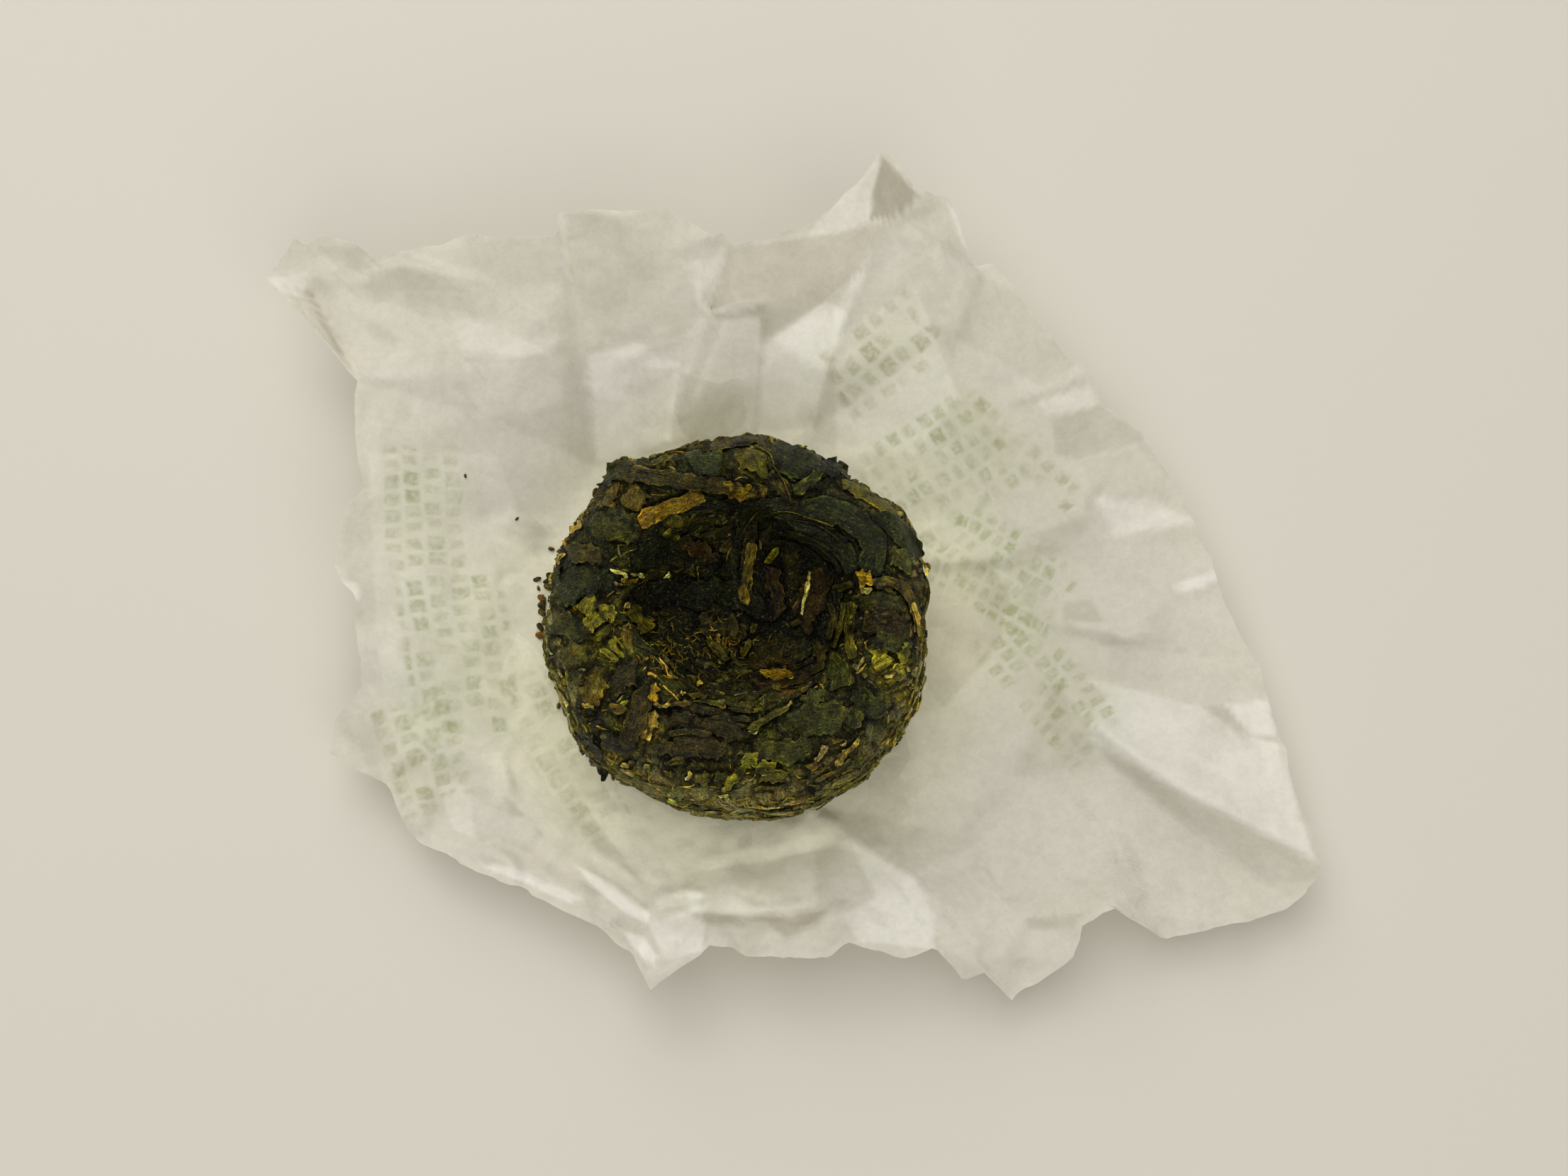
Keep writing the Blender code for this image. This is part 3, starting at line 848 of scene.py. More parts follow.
    ("fleck bark", 4.0, 0.5, [(937, 1090), (948, 1092)]),
    ("plate slate", 7.0, 0.5, [(1008, 1095), (1024, 1092)]),
    ("plate slate", 15.0, 0.35, [(1064, 1057), (1116, 1060), (1146, 1053)]),
    # hollow: its ridge, sweeping folds and walls
    # The night and soot tones of the hollow's leaves, here and in the next group, are painted shade: the
    # hollow's shadow, which wellShade does not lay on shown leaves.
    ("strip cocoa", 8.5, 0.55, [(1063, 741), (1057, 771), (1052, 808), (1053, 852)]),
    ("strip bark", 7.5, 0.7, [(1061, 766), (1055, 806), (1050, 848)]),
    ("plate bark", 5.5, 0.78, [(1050, 826), (1051, 840), (1054, 854)]),
    ("strip night", 14.0, 0.5, [(1046, 762), (1062, 728), (1094, 716), (1134, 738), (1172, 752)]),
    ("strip night", 15.0, 0.45, [(1112, 744), (1150, 754), (1185, 775), (1205, 806)]),
    ("strip night", 4.0, 0.7, [(1096, 752), (1136, 760), (1168, 780), (1186, 808)]),
    ("strip soot", 3.0, 0.75, [(1088, 764), (1128, 772), (1158, 790), (1172, 812)]),
    ("plate cocoa", 22.0, 0.45, [(1158, 800), (1148, 838), (1128, 880)]),
    ("plate cocoa", 13.0, 0.45, [(1090, 800), (1096, 838), (1096, 872)]),
    ("plate night", 15.0, 0.55, [(966, 832), (1020, 834), (1076, 862)]),
    ("plate cocoa", 12.0, 0.45, [(956, 762), (984, 774), (1010, 792)]),
    ("plate night", 16.0, 0.45, [(905, 790), (934, 775), (958, 786)]),
    ("roll night", 6.0, 0.5, [(1040, 742), (1048, 726), (1066, 710)]),
    # hollow: flakes and bits
    ("plate umber", 8.0, 0.55, [(985, 872), (1006, 878)]),
    ("curl umber", 6.5, 0.6, [(1030, 868), (1036, 884), (1030, 898)]),
    ("curl olive", 4.5, 0.6, [(1046, 926), (1054, 914), (1058, 902)]),
    ("curl olive", 6.0, 0.6, [(998, 900), (1012, 916), (1026, 930)]),
    ("fleck gold", 3.5, 0.75, [(1006, 918), (1013, 926)]),
    ("fleck tan", 2.6, 0.6, [(1012, 894), (1014, 908)]),
    ("fleck olive", 4.0, 0.6, [(1058, 888), (1068, 884)]),
    ("fleck tan", 1.4, 0.5, [(984, 798), (985, 822)]),
    ("plate umber", 8.0, 0.5, [(1150, 905), (1158, 926), (1150, 950)]),
    ("strip umber", 5.0, 0.5, [(1170, 850), (1176, 872), (1168, 900)]),
    ("fleck cream", 3.2, 0.6, [(1141, 805), (1138, 835), (1129, 868)]),
    ("strip umber", 4.0, 0.4, [(1116, 882), (1143, 870)]),
    ("curl moss", 4.5, 0.6, [(1079, 795), (1090, 784), (1097, 772)]),
    ("plate umber", 13.0, 0.4, [(988, 891), (1026, 887), (1049, 902)]),
    ("plate olive", 9.5, 0.45, [(1018, 910), (1022, 936)]),
    ("plate soot", 20.5, 0.3, [(909, 846), (954, 831), (1003, 853)]),
    ("plate soot", 15.0, 0.3, [(1064, 831), (1079, 876)]),
    ("plate olive", 8.5, 0.4, [(936, 752), (962, 763)]),
    ("plate soot", 11.5, 0.35, [(966, 714), (1011, 714), (1060, 720)]),
    ("plate bark", 7.5, 0.45, [(1033, 733), (1047, 720)]),
    ("plate soot", 19.0, 0.3, [(1090, 741), (1154, 756), (1195, 786)]),
    ("plate soot", 15.0, 0.3, [(1146, 801), (1173, 831), (1169, 891)]),
    ("plate ochre", 7.5, 0.5, [(1075, 951), (1097, 948), (1118, 951)]),
    ("strip cocoa", 7.5, 0.35, [(1067, 966), (1101, 963), (1139, 951)]),
    ("fleck cream", 2.5, 0.4, [(996, 788), (1011, 789)]),
    ("fleck tan", 3.5, 0.5, [(983, 963), (988, 966)]),
    ("fleck cream", 3.0, 0.5, [(960, 976), (966, 979)]),
]
shownGrid = {"broad": (40, 26), "small": (16, 12), "border": 7.0, "pixelsPerMm": 17.5, "seed": 41}
windowCorner = np.array([window["left"], window["top"]])


def leafWindow(line, halfWidth, shares, margin):
    # the part of the window round a leaf, and each pixel's distance from its middle line
    spots = throughPoints(line, shares) - windowCorner
    x0, y0 = np.maximum(np.floor(spots.min(0) - halfWidth - margin).astype(int), 0)
    x1, y1 = np.ceil(spots.max(0) + halfWidth + margin).astype(int)
    y, x = np.mgrid[y0 : min(y1, window["height"]), x0 : min(x1, window["width"])]
    gap = np.min(np.hypot(x[..., None] - spots[:, 0], y[..., None] - spots[:, 1]), -1)
    return (slice(y0, y0 + gap.shape[0]), slice(x0, x0 + gap.shape[1])), gap


def underLeaves():
    # 1 at the pixels of the window that a shown leaf covers
    mask = np.zeros((window["height"], window["width"]))
    for _, halfWidth, _, line in shownLeaves:
        part, gap = leafWindow(line, halfWidth, np.linspace(0, 1, 24), 2)
        mask[part][gap < halfWidth + 1] = 1.0
    return softened(mask, 1)


def windowCells(places):
    # the window's cell where each place is seen, and whether the place is on the seen side
    px, py, far = toPixel(places)
    x = np.clip(px - window["left"], 0, window["width"] - 1).astype(int)
    y = np.clip(py - window["top"], 0, window["height"] - 1).astype(int)
    return (y, x), np.abs(far - seenMap[y, x]) < window["seenWithin"]


def tuckedUnder(places, outward, depth):
    # places on the seen side are drawn back along the normal where a shown leaf lies over them
    cells, seen = windowCells(places)
    return places - outward * (depth * leafMask[cells] * seen)[..., None]


def ridged(places, size, seed):
    # sharp crests: 1 less twice the size of softNoise, -1 to 1
    return 1.0 - 2.0 * np.abs(softNoise(places, size, seed))


def tornHalf(run, halfWidth, ends, ragged, draw):
    # a leaf's half width along it: rounded ends, less or more by a coarse and a fine broken line
    torn = 0.0
    for spacing, share in ((0.9, 0.75), (0.25, 0.55)):
        count = 3 + int(run[-1] / spacing)
        torn = torn + share * np.interp(run, np.linspace(0, run[-1], count), draw.uniform(-1, 1, count))
    torn = ragged * torn * shownGrid["pixelsPerMm"] * np.minimum(1.0, halfWidth / 9.0)
    return np.maximum(halfWidth * ends + torn, 0.3 * halfWidth * ends)


def shownLeafRings(index, kind, halfWidth, rise, line, draw, along, around):
    # one leaf's rings: along its middle line in the picture, then over its width, on what is
    # seen. Its outline is a broken line with slanting ends; its top has wrinkles that run along it.
    shape = leafKinds[kind]
    share = easedSteps(0.02, along)
    middle = throughPoints(line, share)
    way = np.gradient(middle, axis=0)
    way /= np.linalg.norm(way, axis=1, keepdims=True)
    sideways = np.stack([-way[:, 1], way[:, 0]], -1)
    run = runAlong(middle) / shownGrid["pixelsPerMm"]
    fromMiddle = np.abs(2 * share - 1)
    ends = (1 - fromMiddle ** shape["square"]) ** (1 / shape["square"])
    turn = roundSteps(around)
    side = np.cos(turn)
    halves = [tornHalf(run, halfWidth, ends, shape["ragged"], draw)[:, None] for _ in range(2)]
    across = np.where(side[None, :] > 0, *halves) * side[None, :]
    slant = np.where(share < 0.5, *draw.uniform(-0.9, 0.9, 2)) * fromMiddle**3
    pixel = middle[:, None, :] + sideways[:, None, :] * across[..., None]
    pixel = pixel + way[:, None, :] * (slant[:, None] * across)[..., None]
    flat = np.stack([run[:, None] + 0 * across, across / shownGrid["pixelsPerMm"]], -1)
    spot = np.concatenate([flat, np.full(flat.shape[:2] + (1,), index * 3.3)], -1)
    wrinkle = 0.6 * ridged(spot * np.array([0.45, 1.0, 1.0]), 0.55, 21) + 0.5 * softNoise(spot, 0.32, 22)
    wrinkle = wrinkle + 0.8 * softNoise(spot, 1.3, 23)
    top = np.sin(turn) > 1e-6
    sheet = np.sign(np.sin(turn)) * np.abs(np.sin(turn)) ** 0.35
    tilt = draw.choice([-1, 1]) * draw.uniform(0.06, 0.22) * min(1.0, halfWidth / 14.0)
    lift = (
        shape["thick"] * np.where(top, sheet, 2.2 * sheet)
        + shape["cup"] * side**2 * (1 + 0.8 * softNoise(spot, 1.1, 25))
        + shape["fold"] * np.maximum(0.0, 1 - np.abs(side - 0.2) * 2.4) * top
        + shape["wrinkle"] * wrinkle * min(1.0, halfWidth / 6.0)
        + tilt * side
        - 0.10 * fromMiddle[:, None] ** 6
    )
    return onSeen(pixel[..., 0], pixel[..., 1], rise - 0.12 + lift), flat


leafMask = underLeaves()


def gapsRoundLeaves():
    # at each pixel of the window: how near the outline of a shown leaf is, 0 to 1, the share of the painted
    # shadow it lays on what lies round it, and that leaf's rise. Higher leaves are written over lower ones.
    dark = np.zeros((window["height"], window["width"]))
    rise = np.zeros_like(dark)
    for _, halfWidth, lifted, line in sorted(shownLeaves, key=lambda leaf: leaf[2]):
        part, gap = leafWindow(line, halfWidth, np.linspace(0.03, 0.97, 30), 8)
        gap = gap - halfWidth
        wide = min(4.0, 1.0 + 0.35 * halfWidth)
        near = smoothStep(-wide - 1.5, -0.5, gap) * smoothStep(1.8 * wide, 0.3 * wide, gap)
        here = near > 0.15
        dark[part] = np.where(here, near, dark[part])
        rise[part] = np.where(here, lifted, rise[part])
    return dark, rise


gapShadowShare, gapRise = gapsRoundLeaves()
gapShadowStrength = 0.86


def paintedGapShadow(places, lifted):
    # painted shadow: the share of light left in the gaps beside leaves that stand higher than lifted
    cells, seen = windowCells(places)
    return (1 - gapShadowStrength * gapShadowShare[cells] * (gapRise[cells] > lifted + 0.03) * seen)[..., None]


def makeShownLeaves(name, group, finish):
    # one group of the shown leaves. A leaf's tone has clouds and blotches, and painted shade along its
    # creases;
    # its rim is lighter in places, pale torn edge and painted highlight, or darker, painted shade, with a
    # painted dark line of shade at the very edge.
    rings, flats, colours = [], [], []
    along, around = shownGrid[group]
    side = np.abs(np.cos(roundSteps(around)))[None, :]
    for index, (look, halfWidth, rise, line) in enumerate(shownLeaves):
        if (halfWidth > shownGrid["border"]) != (group == "broad"):
            continue
        kind, toneName = look.split()
        draw = np.random.default_rng(shownGrid["seed"] + index)
        ring, flat = shownLeafRings(index, kind, halfWidth, rise, line, draw, along, around)
        # the rim's painted highlight and painted shade, and at the very edge a painted dark line of shade
        rim = smoothStep(0.70, 0.95, side) * np.clip(0.8 + 3.0 * softNoise(ring, 0.7, 27), -0.3, 2.3)
        rim = np.where(side > 0.985, -0.8, rim)
        cloud = 1 + 0.32 * layeredNoise(ring, 1.3, 29, 3)
        # the strength of the rim's painted highlight and shade
        patchy, edge = (0.36, 0.6) if toneName == "moss" else (0.38, 1.1)
        blotch = np.clip(1.0 + patchy * layeredNoise(ring, 0.55, 47, 2), 0.25, 1.7)
        spot = np.concatenate([flat * np.array([0.55, 1.0]), np.full(flat.shape[:2] + (1,), index * 3.3)], -1)
        # painted shade along creases
        crease = 1 - 0.55 * smoothStep(0.70, 0.96, ridged(spot, 0.7, 43))
        light = (0.8 + 0.4 * draw.random()) * cloud * blotch * crease * (1 + edge * rim)
        colours.append(leafTone[toneName] * light[..., None] * paintedGapShadow(ring, rise))
        rings.append(ring)
        flats.append(flat)
    return shellPiece(name, np.array(rings), finish, np.array(flats), np.array(colours))


# Broken leaves all over the nest: how many, length and width ranges in mm, and how they lie
scraps = {
    "count": 560,
    "seed": 5,
    "onTop": 0.50,
    # painted light: the tones of the wall's leaves are made this many times lighter, as the lamps light the
    # wall less
    "wallPaintedLight": 2.45,
    "top": {"length": (1.6, 6.0), "width": (0.8, 3.2), "rise": (-0.06, 0.12)},
    "wall": {"length": (2.0, 8.0), "width": (0.30, 1.2), "rise": (-0.02, 0.20)},
    "torn": 0.34,
    "along": 13,
    "around": 10,
}
mixOnTop = {
    "slate": 0.34, "umber": 0.14, "teal": 0.14, "plum": 0.10,
    "olive": 0.18, "bark": 0.06, "moss": 0.05, "tan": 0.01,
}
mixOnWall = {
    "olive": 0.08, "bark": 0.10, "umber": 0.18, "slate": 0.20,
    "drab": 0.24, "straw": 0.12, "moss": 0.02, "plum": 0.06,
}
# distances along the section: where the well's lip ends, the wall starts and the base starts
wellArc = 13.2
wallArc = 21.5
baseArc = 34.0
laid = {
    "margin": 0.04,  # share of a leaf's length that its first station keeps off its end
    "squareEnds": 7.0,
    "knots": 6,  # of the torn outline
    "slant": 0.9,
    "bow": 0.10,
    "tilt": (0.04, 0.15),  # along and across
    "wrinkles": ((0.07, 0.6, 24), (0.05, 0.35, 26)),  # height, size, seed
    "tuck": 0.4,
    "low": 0.3,  # leaves below this level are pressed together above the least one
    "least": 0.1,
}


def pickTones(draw, mix, count):
    names = list(mix)
    chosen = draw.choice(len(names), count, p=np.array(list(mix.values())) / sum(mix.values()))
    return np.array([leafTone[name] for name in names])[chosen]


def layOnNest(angle, along, heading, length, width, thick, rise, draw, stations, around, torn, tilt=1.0):
    # leaves laid on the nest: a flat outline turned to its heading, wrapped on the surface by
    # angle and distance along the section, and raised off it by a thin sheet with wrinkles and a
    # slight tilt. The outline is a broken line: each station's half width has its own chance part.
    count = len(angle)
    middle = sampleGrid(bodyGrid, angle, along)
    each = (angle, along, heading, length, width, thick, rise)
    angle, along, heading, length, width, thick, rise = (value[:, None, None] for value in each)
    share = easedSteps(laid["margin"], stations)
    turn = roundSteps(around)
    side = np.cos(turn)
    fromMiddle = np.abs(2 * share - 1)[:, None]
    ends = (1 - fromMiddle ** laid["squareEnds"]) ** (1 / laid["squareEnds"])
    knots = draw.uniform(-1, 1, (2, count, laid["knots"]))
    place = share * (laid["knots"] - 1)
    span = np.minimum(place.astype(int), laid["knots"] - 2)
    chance = knots[..., span] * (1 - (place - span)) + knots[..., span + 1] * (place - span)
    chance = (torn * (chance + draw.uniform(-0.3, 0.3, (2, count, stations))))[..., None]
    across = 0.5 * width * ends * (1 + np.where(side > 0, *chance)) * side
    slant = draw.uniform(-laid["slant"], laid["slant"], (count, 1, 1)) * fromMiddle**1.5
    a = length * (share - 0.5)[:, None] + slant * across
    bow = draw.normal(0, laid["bow"], (count, 1, 1)) * length
    b = across + bow * (4 * (share[:, None] - 0.5) ** 2 - 0.5)
    x, y = a * np.cos(heading) - b * np.sin(heading), a * np.sin(heading) + b * np.cos(heading)
    reach = np.maximum(np.hypot(middle[:, 0], middle[:, 1]), 2.5)[:, None, None]
    spots = angle + x / reach, np.clip(along + y, 0.15, rowArc[-1] - 1.0)
    outward = sampleGrid(bodyNormal, *spots)
    outward = outward / np.maximum(np.linalg.norm(outward, axis=-1, keepdims=True), 1e-6)
    sheet = np.sign(np.sin(turn)) * np.abs(np.sin(turn)) ** 0.4
    tiltAlong, tiltAcross = (draw.normal(0, size, (count, 1, 1)) for size in laid["tilt"])
    flat = np.stack([a, across], -1)
    number = np.arange(count)[:, None, None, None]
    spot = np.concatenate([flat, np.broadcast_to(number * 5.3, a.shape + (1,))], -1)
    (coarse, size, seed), (fine, fineSize, fineSeed) = laid["wrinkles"]
    wrinkle = coarse * ridged(spot * np.array([0.5, 1.0, 1.0]), size, seed)
    wrinkle = wrinkle + fine * softNoise(spot, fineSize, fineSeed)
    lift = rise + 0.5 * thick * sheet + wrinkle * np.minimum(1.0, width / 0.8)
    lift = lift + tilt * (tiltAlong * a + tiltAcross * across)
    places = tuckedUnder(sampleGrid(coverGrid, *spots) + outward * lift[..., None], outward, laid["tuck"])
    room = laid["low"] - laid["least"]
    pressed = laid["least"] + room * np.exp(np.minimum(places[..., 2] - laid["low"], 0.0) / room)
    places[..., 2] = np.where(places[..., 2] < laid["low"], pressed, places[..., 2])
    return places, flat + number * np.array([3.7, 1.9])


def wellShade(places):
    # painted shade: leaves deep in the hollow are darker, from its shaded middle out to the lip
    x, y = places[..., 0] - nest["wellOffset"][0], places[..., 1] - nest["wellOffset"][1]
    out = np.hypot(x / nest["wellHalf"][0], y / nest["wellHalf"][1])
    upward = places[..., 2] > 4.0
    return np.where(upward, 0.32 + 0.68 * smoothStep(0.72, 1.04, out), 1.0)[..., None]


def edgeLightAndShade(shape, draw):
    # a leaf's two long edges: darker where they bend under, a painted shade, lighter where they are torn,
    # the pale torn edge with a painted highlight
    side = np.cos(roundSteps(shape[2]))
    sides = draw.choice([0.30, 0.8, 2.3], (shape[0], 2), p=[0.42, 0.26, 0.32])
    factor = np.where(side > 0, sides[:, :1], sides[:, 1:])
    return (1 + (factor - 1) * np.abs(side) ** 6)[:, None, :, None]


def makeScraps(finish):
    draw = np.random.default_rng(scraps["seed"])
    count = scraps["count"]
    onTop = draw.random(count) < scraps["onTop"]
    along = np.where(onTop, draw.uniform(4.0, wallArc, count), draw.uniform(wallArc - 1, baseArc, count))
    angle = draw.uniform(0, 2 * math.pi, count)
    onWall = along > wallArc - 1
    heading = np.where(onWall, draw.normal(0, 0.14, count), draw.uniform(0, math.pi, count))
    nearCrest = (along > wellArc) & (along <= wallArc - 1)
    heading = np.where(nearCrest, draw.normal(0, 0.8, count), heading)

    def ranged(key):
        top, wall = scraps["top"][key], scraps["wall"][key]
        part = draw.random(count) ** 1.5
        return np.where(onWall, wall[0] + part * (wall[1] - wall[0]), top[0] + part * (top[1] - top[0]))

    length, width, rise = ranged("length"), ranged("width"), ranged("rise")
    width = np.minimum(width, 0.7 * length)
    thick = 0.10 + 0.10 * draw.random(count)
    grid = scraps["along"], scraps["around"]
    rings, flat = layOnNest(angle, along, heading, length, width, thick, rise, draw, *grid, scraps["torn"])
    tone = np.where(onWall[:, None], pickTones(draw, mixOnWall, count), pickTones(draw, mixOnTop, count))
    # painted light on the wall's leaves, which the lamps light less
    tone = tone * (draw.uniform(0.7, 1.2, count) * np.where(onWall, scraps["wallPaintedLight"], 1.0))[:, None]
    colour = tone[:, None, None, :] * (1 + 0.30 * layeredNoise(rings, 1.1, 33, 3))[..., None]
    # painted shade in the hollow and in the gaps beside shown leaves, painted light and shade on the long
    # edges
    colour = inRegions(rings, colour) * wellShade(rings) * edgeLightAndShade(rings.shape, draw) * paintedGapShadow(rings, 0.0)
    return shellPiece("leafScraps", rings, finish, flat, colour)


# Small bits: stems and split fibres, by count, length and thickness in mm, and how many points
# along and round each
fibres = {
    "stems": {
        "count": 40,
        "onTop": 0.5,
        "length": (1.2, 3.6),
        "thick": (0.12, 0.24),
        "mix": {"bark": 0.45, "tan": 0.05, "umber": 0.40, "olive": 0.1},
        "seed": 31,
        "grid": (8, 6),
    },
    "hairs": {
        "count": 1700,
        "onTop": 0.30,
        "length": (0.4, 1.7),
        "thick": (0.06, 0.15),
        "mix": {"gold": 0.07, "tan": 0.26, "straw": 0.34, "drab": 0.14, "olive": 0.12, "bark": 0.07},
        "seed": 32,
        "grid": (6, 5),
    },
    "chips": {
        "count": 1600,
        "onTop": 0.30,
        "length": (0.22, 1.0),
        "thick": (0.10, 0.30),
        "mix": {
            "olive": 0.24, "umber": 0.18, "bark": 0.16, "slate": 0.14,
            "straw": 0.16, "drab": 0.08, "moss": 0.04,
        },
        "seed": 33,
        "grid": (5, 6),
    },
}


def makeFibres(name, settings, finish):
    # fibres all over the nest, level on its wall and any way round on top
    draw = np.random.default_rng(settings["seed"])
    count = settings["count"]
    angle = draw.uniform(0, 2 * math.pi, count)
    onTop = draw.random(count) < settings["onTop"]
    high, low = draw.uniform(4.0, wallArc, count), draw.uniform(wallArc - 2.0, baseArc + 1.0, count)
    along = np.where(onTop, high, low)
    heading = np.where(along > wallArc - 1, draw.normal(0, 0.35, count), draw.uniform(0, math.pi, count))
    length = draw.uniform(*settings["length"], count)
    thick = draw.uniform(*settings["thick"], count)
    wide = thick * draw.uniform(1.0, 1.6, count)
    rise = draw.uniform(0.05, 0.30, count)
    grid = settings["grid"]
    rings, flat = layOnNest(angle, along, heading, length, wide, thick, rise, draw, *grid, 0.3, 0.8)
    tone = pickTones(draw, settings["mix"], count) * np.exp(draw.normal(0, 0.4, count))[:, None]
    # painted shade in the hollow, weaker than on the leaves
    return shellPiece(name, rings, finish, flat, tone[:, None, None, :] * wellShade(rings) ** 0.7)


# Golden hairs lie thick in a few places: pixel, spread in pixels, count. Their lengths, bends and
# thicknesses are in pixels too, their rise in mm.
clumpHairs = {
    "clumps": {
        "well floor": ((1022, 905), 24, 70),
        "near lip": ((965, 985), 26, 8),
        "left side": ((905, 880), 22, 24),
        "well fringe": ((940, 925), 24, 40),
    },
    "length": (5.0, 17.0),
    "bend": 2.5,
    "thick": (0.6, 1.1),
    "rise": (0.35, 0.65),
    "mix": {"gold": 0.4, "tan": 0.3, "moss": 0.2, "cream": 0.1},
    "light": 0.8,
    "seed": 77,
    "grid": (6, 5),
}


def makeClumpHairs(finish):
    # short golden hairs about a few places in the picture, each a thin bent shell: its stations
    # lie on a parabola, its half width tapers with the fourth power of the way to its ends
    draw = np.random.default_rng(clumpHairs["seed"])
    rings, flats, colours = [], [], []
    stations, around = clumpHairs["grid"]
    turn = roundSteps(around)
    share = np.linspace(0.03, 0.97, stations)[:, None]
    for (px, py), spread, count in clumpHairs["clumps"].values():
        each = (count, 1, 1)
        middleX, middleY = px + draw.normal(0, spread, each), py + draw.normal(0, spread * 0.6, each)
        way = draw.uniform(0, math.pi, each)
        a = draw.uniform(*clumpHairs["length"], each) * (share - 0.5)
        b = draw.normal(0, clumpHairs["bend"], each) * (4 * (share - 0.5) ** 2)
        taper = draw.uniform(*clumpHairs["thick"], each) * (1 - np.abs(2 * share - 1) ** 4)
        b = b + taper * np.cos(turn)
        pixelX = middleX + a * np.cos(way) - b * np.sin(way)
        pixelY = middleY + a * np.sin(way) + b * np.cos(way)
        rise = draw.uniform(*clumpHairs["rise"], each) + taper * np.sin(turn) / shownGrid["pixelsPerMm"]
        rings.append(onSeen(pixelX, pixelY, rise))
        flats.append(np.stack([pixelX, pixelY], -1) / shownGrid["pixelsPerMm"])
        tone = clumpHairs["light"] * pickTones(draw, clumpHairs["mix"], count)[:, None, None, :]
        colours.append(np.broadcast_to(tone, rings[-1].shape))
    rings, flats, colours = (np.concatenate(group) for group in (rings, flats, colours))
    return shellPiece("goldenHairs", rings, finish, flats, colours)


coreLook = {
    "plates": ["slate", "umber", "teal", "slate", "olive", "slate", "plum", "olive"],
    "cloud": (0.30, 1.1, 35),  # strength, size, seed
    "wallFrom": (12.6, 14.4),  # radii between which the plates turn into level stripes
    "stripes": (0.16, 0.34, 61),  # stretch, height, seed
    "paleAbove": 0.36,
    "darkBelow": -0.38,
    # painted shade in the grooves between the plates
    "grooveShade": (0.35, 0.14),  # tone and width
}


def nestTone(places):
    # the core shows between the laid leaves: one tone for each pressed plate, with painted shade in its
    # grooves, level stripes on the wall, and painted shade in the hollow and in the gaps beside shown leaves
    _, (near, second, number, _) = plateCells(places)
    palette = np.array([leafTone[name] for name in coreLook["plates"]])
    strength, size, seed = coreLook["cloud"]
    colour = palette[(number * (len(palette) - 0.01)).astype(int)]
    colour = colour * (1 + strength * layeredNoise(places, size, seed, 3))[..., None]
    stretch, size, seed = coreLook["stripes"]
    level = softNoise(places * np.array([stretch, stretch, 1.0]), size, seed)[..., None]
    stripe = np.where(level > 0.0, leafTone["drab"] * 1.2, leafTone["umber"] * 1.2)
    stripe = np.where(level > coreLook["paleAbove"], leafTone["straw"] * 1.4, stripe)
    stripe = np.where(level < coreLook["darkBelow"], leafTone["soot"], stripe)
    wall = smoothStep(*coreLook["wallFrom"], np.hypot(places[..., 0], places[..., 1]))[..., None]
    colour = colour * (1 - wall) + stripe * wall
    dark, wide = coreLook["grooveShade"]
    grooveShade = dark + (1 - dark) * smoothStep(0.0, wide, second - near)[..., None]
    return inRegions(places, colour) * grooveShade * wellShade(places) * paintedGapShadow(places, 0.0)


def makeCore(finish):
    # the grid's rows as rings, with its first and last row drawn together to poles
    inner = nestGrid[1:-1].reshape(-1, 3)
    places = np.concatenate([inner, nestGrid[:1].mean(1), nestGrid[-1:].mean(1)])
    quads, triangles = facingOut(places, *shellFaces(1, nest["rows"] - 2, nest["columns"]))
    return meshPiece("nestCore", places, quads, triangles, finish, None, nestTone(places))


coreFinish = leafMaterial("pressedCore", False)
leafFinish = leafMaterial("pressedLeaf", True)
nestPieces = [makeCore(coreFinish), makeScraps(leafFinish)]
nestPieces.append(makeShownLeaves("shownLeaves", "broad", leafFinish))
nestPieces.append(makeShownLeaves("shownBits", "small", leafFinish))
nestPieces += [makeFibres(name, settings, leafFinish) for name, settings in fibres.items()]
nestPieces.append(makeClumpHairs(leafFinish))
print("nest covered")

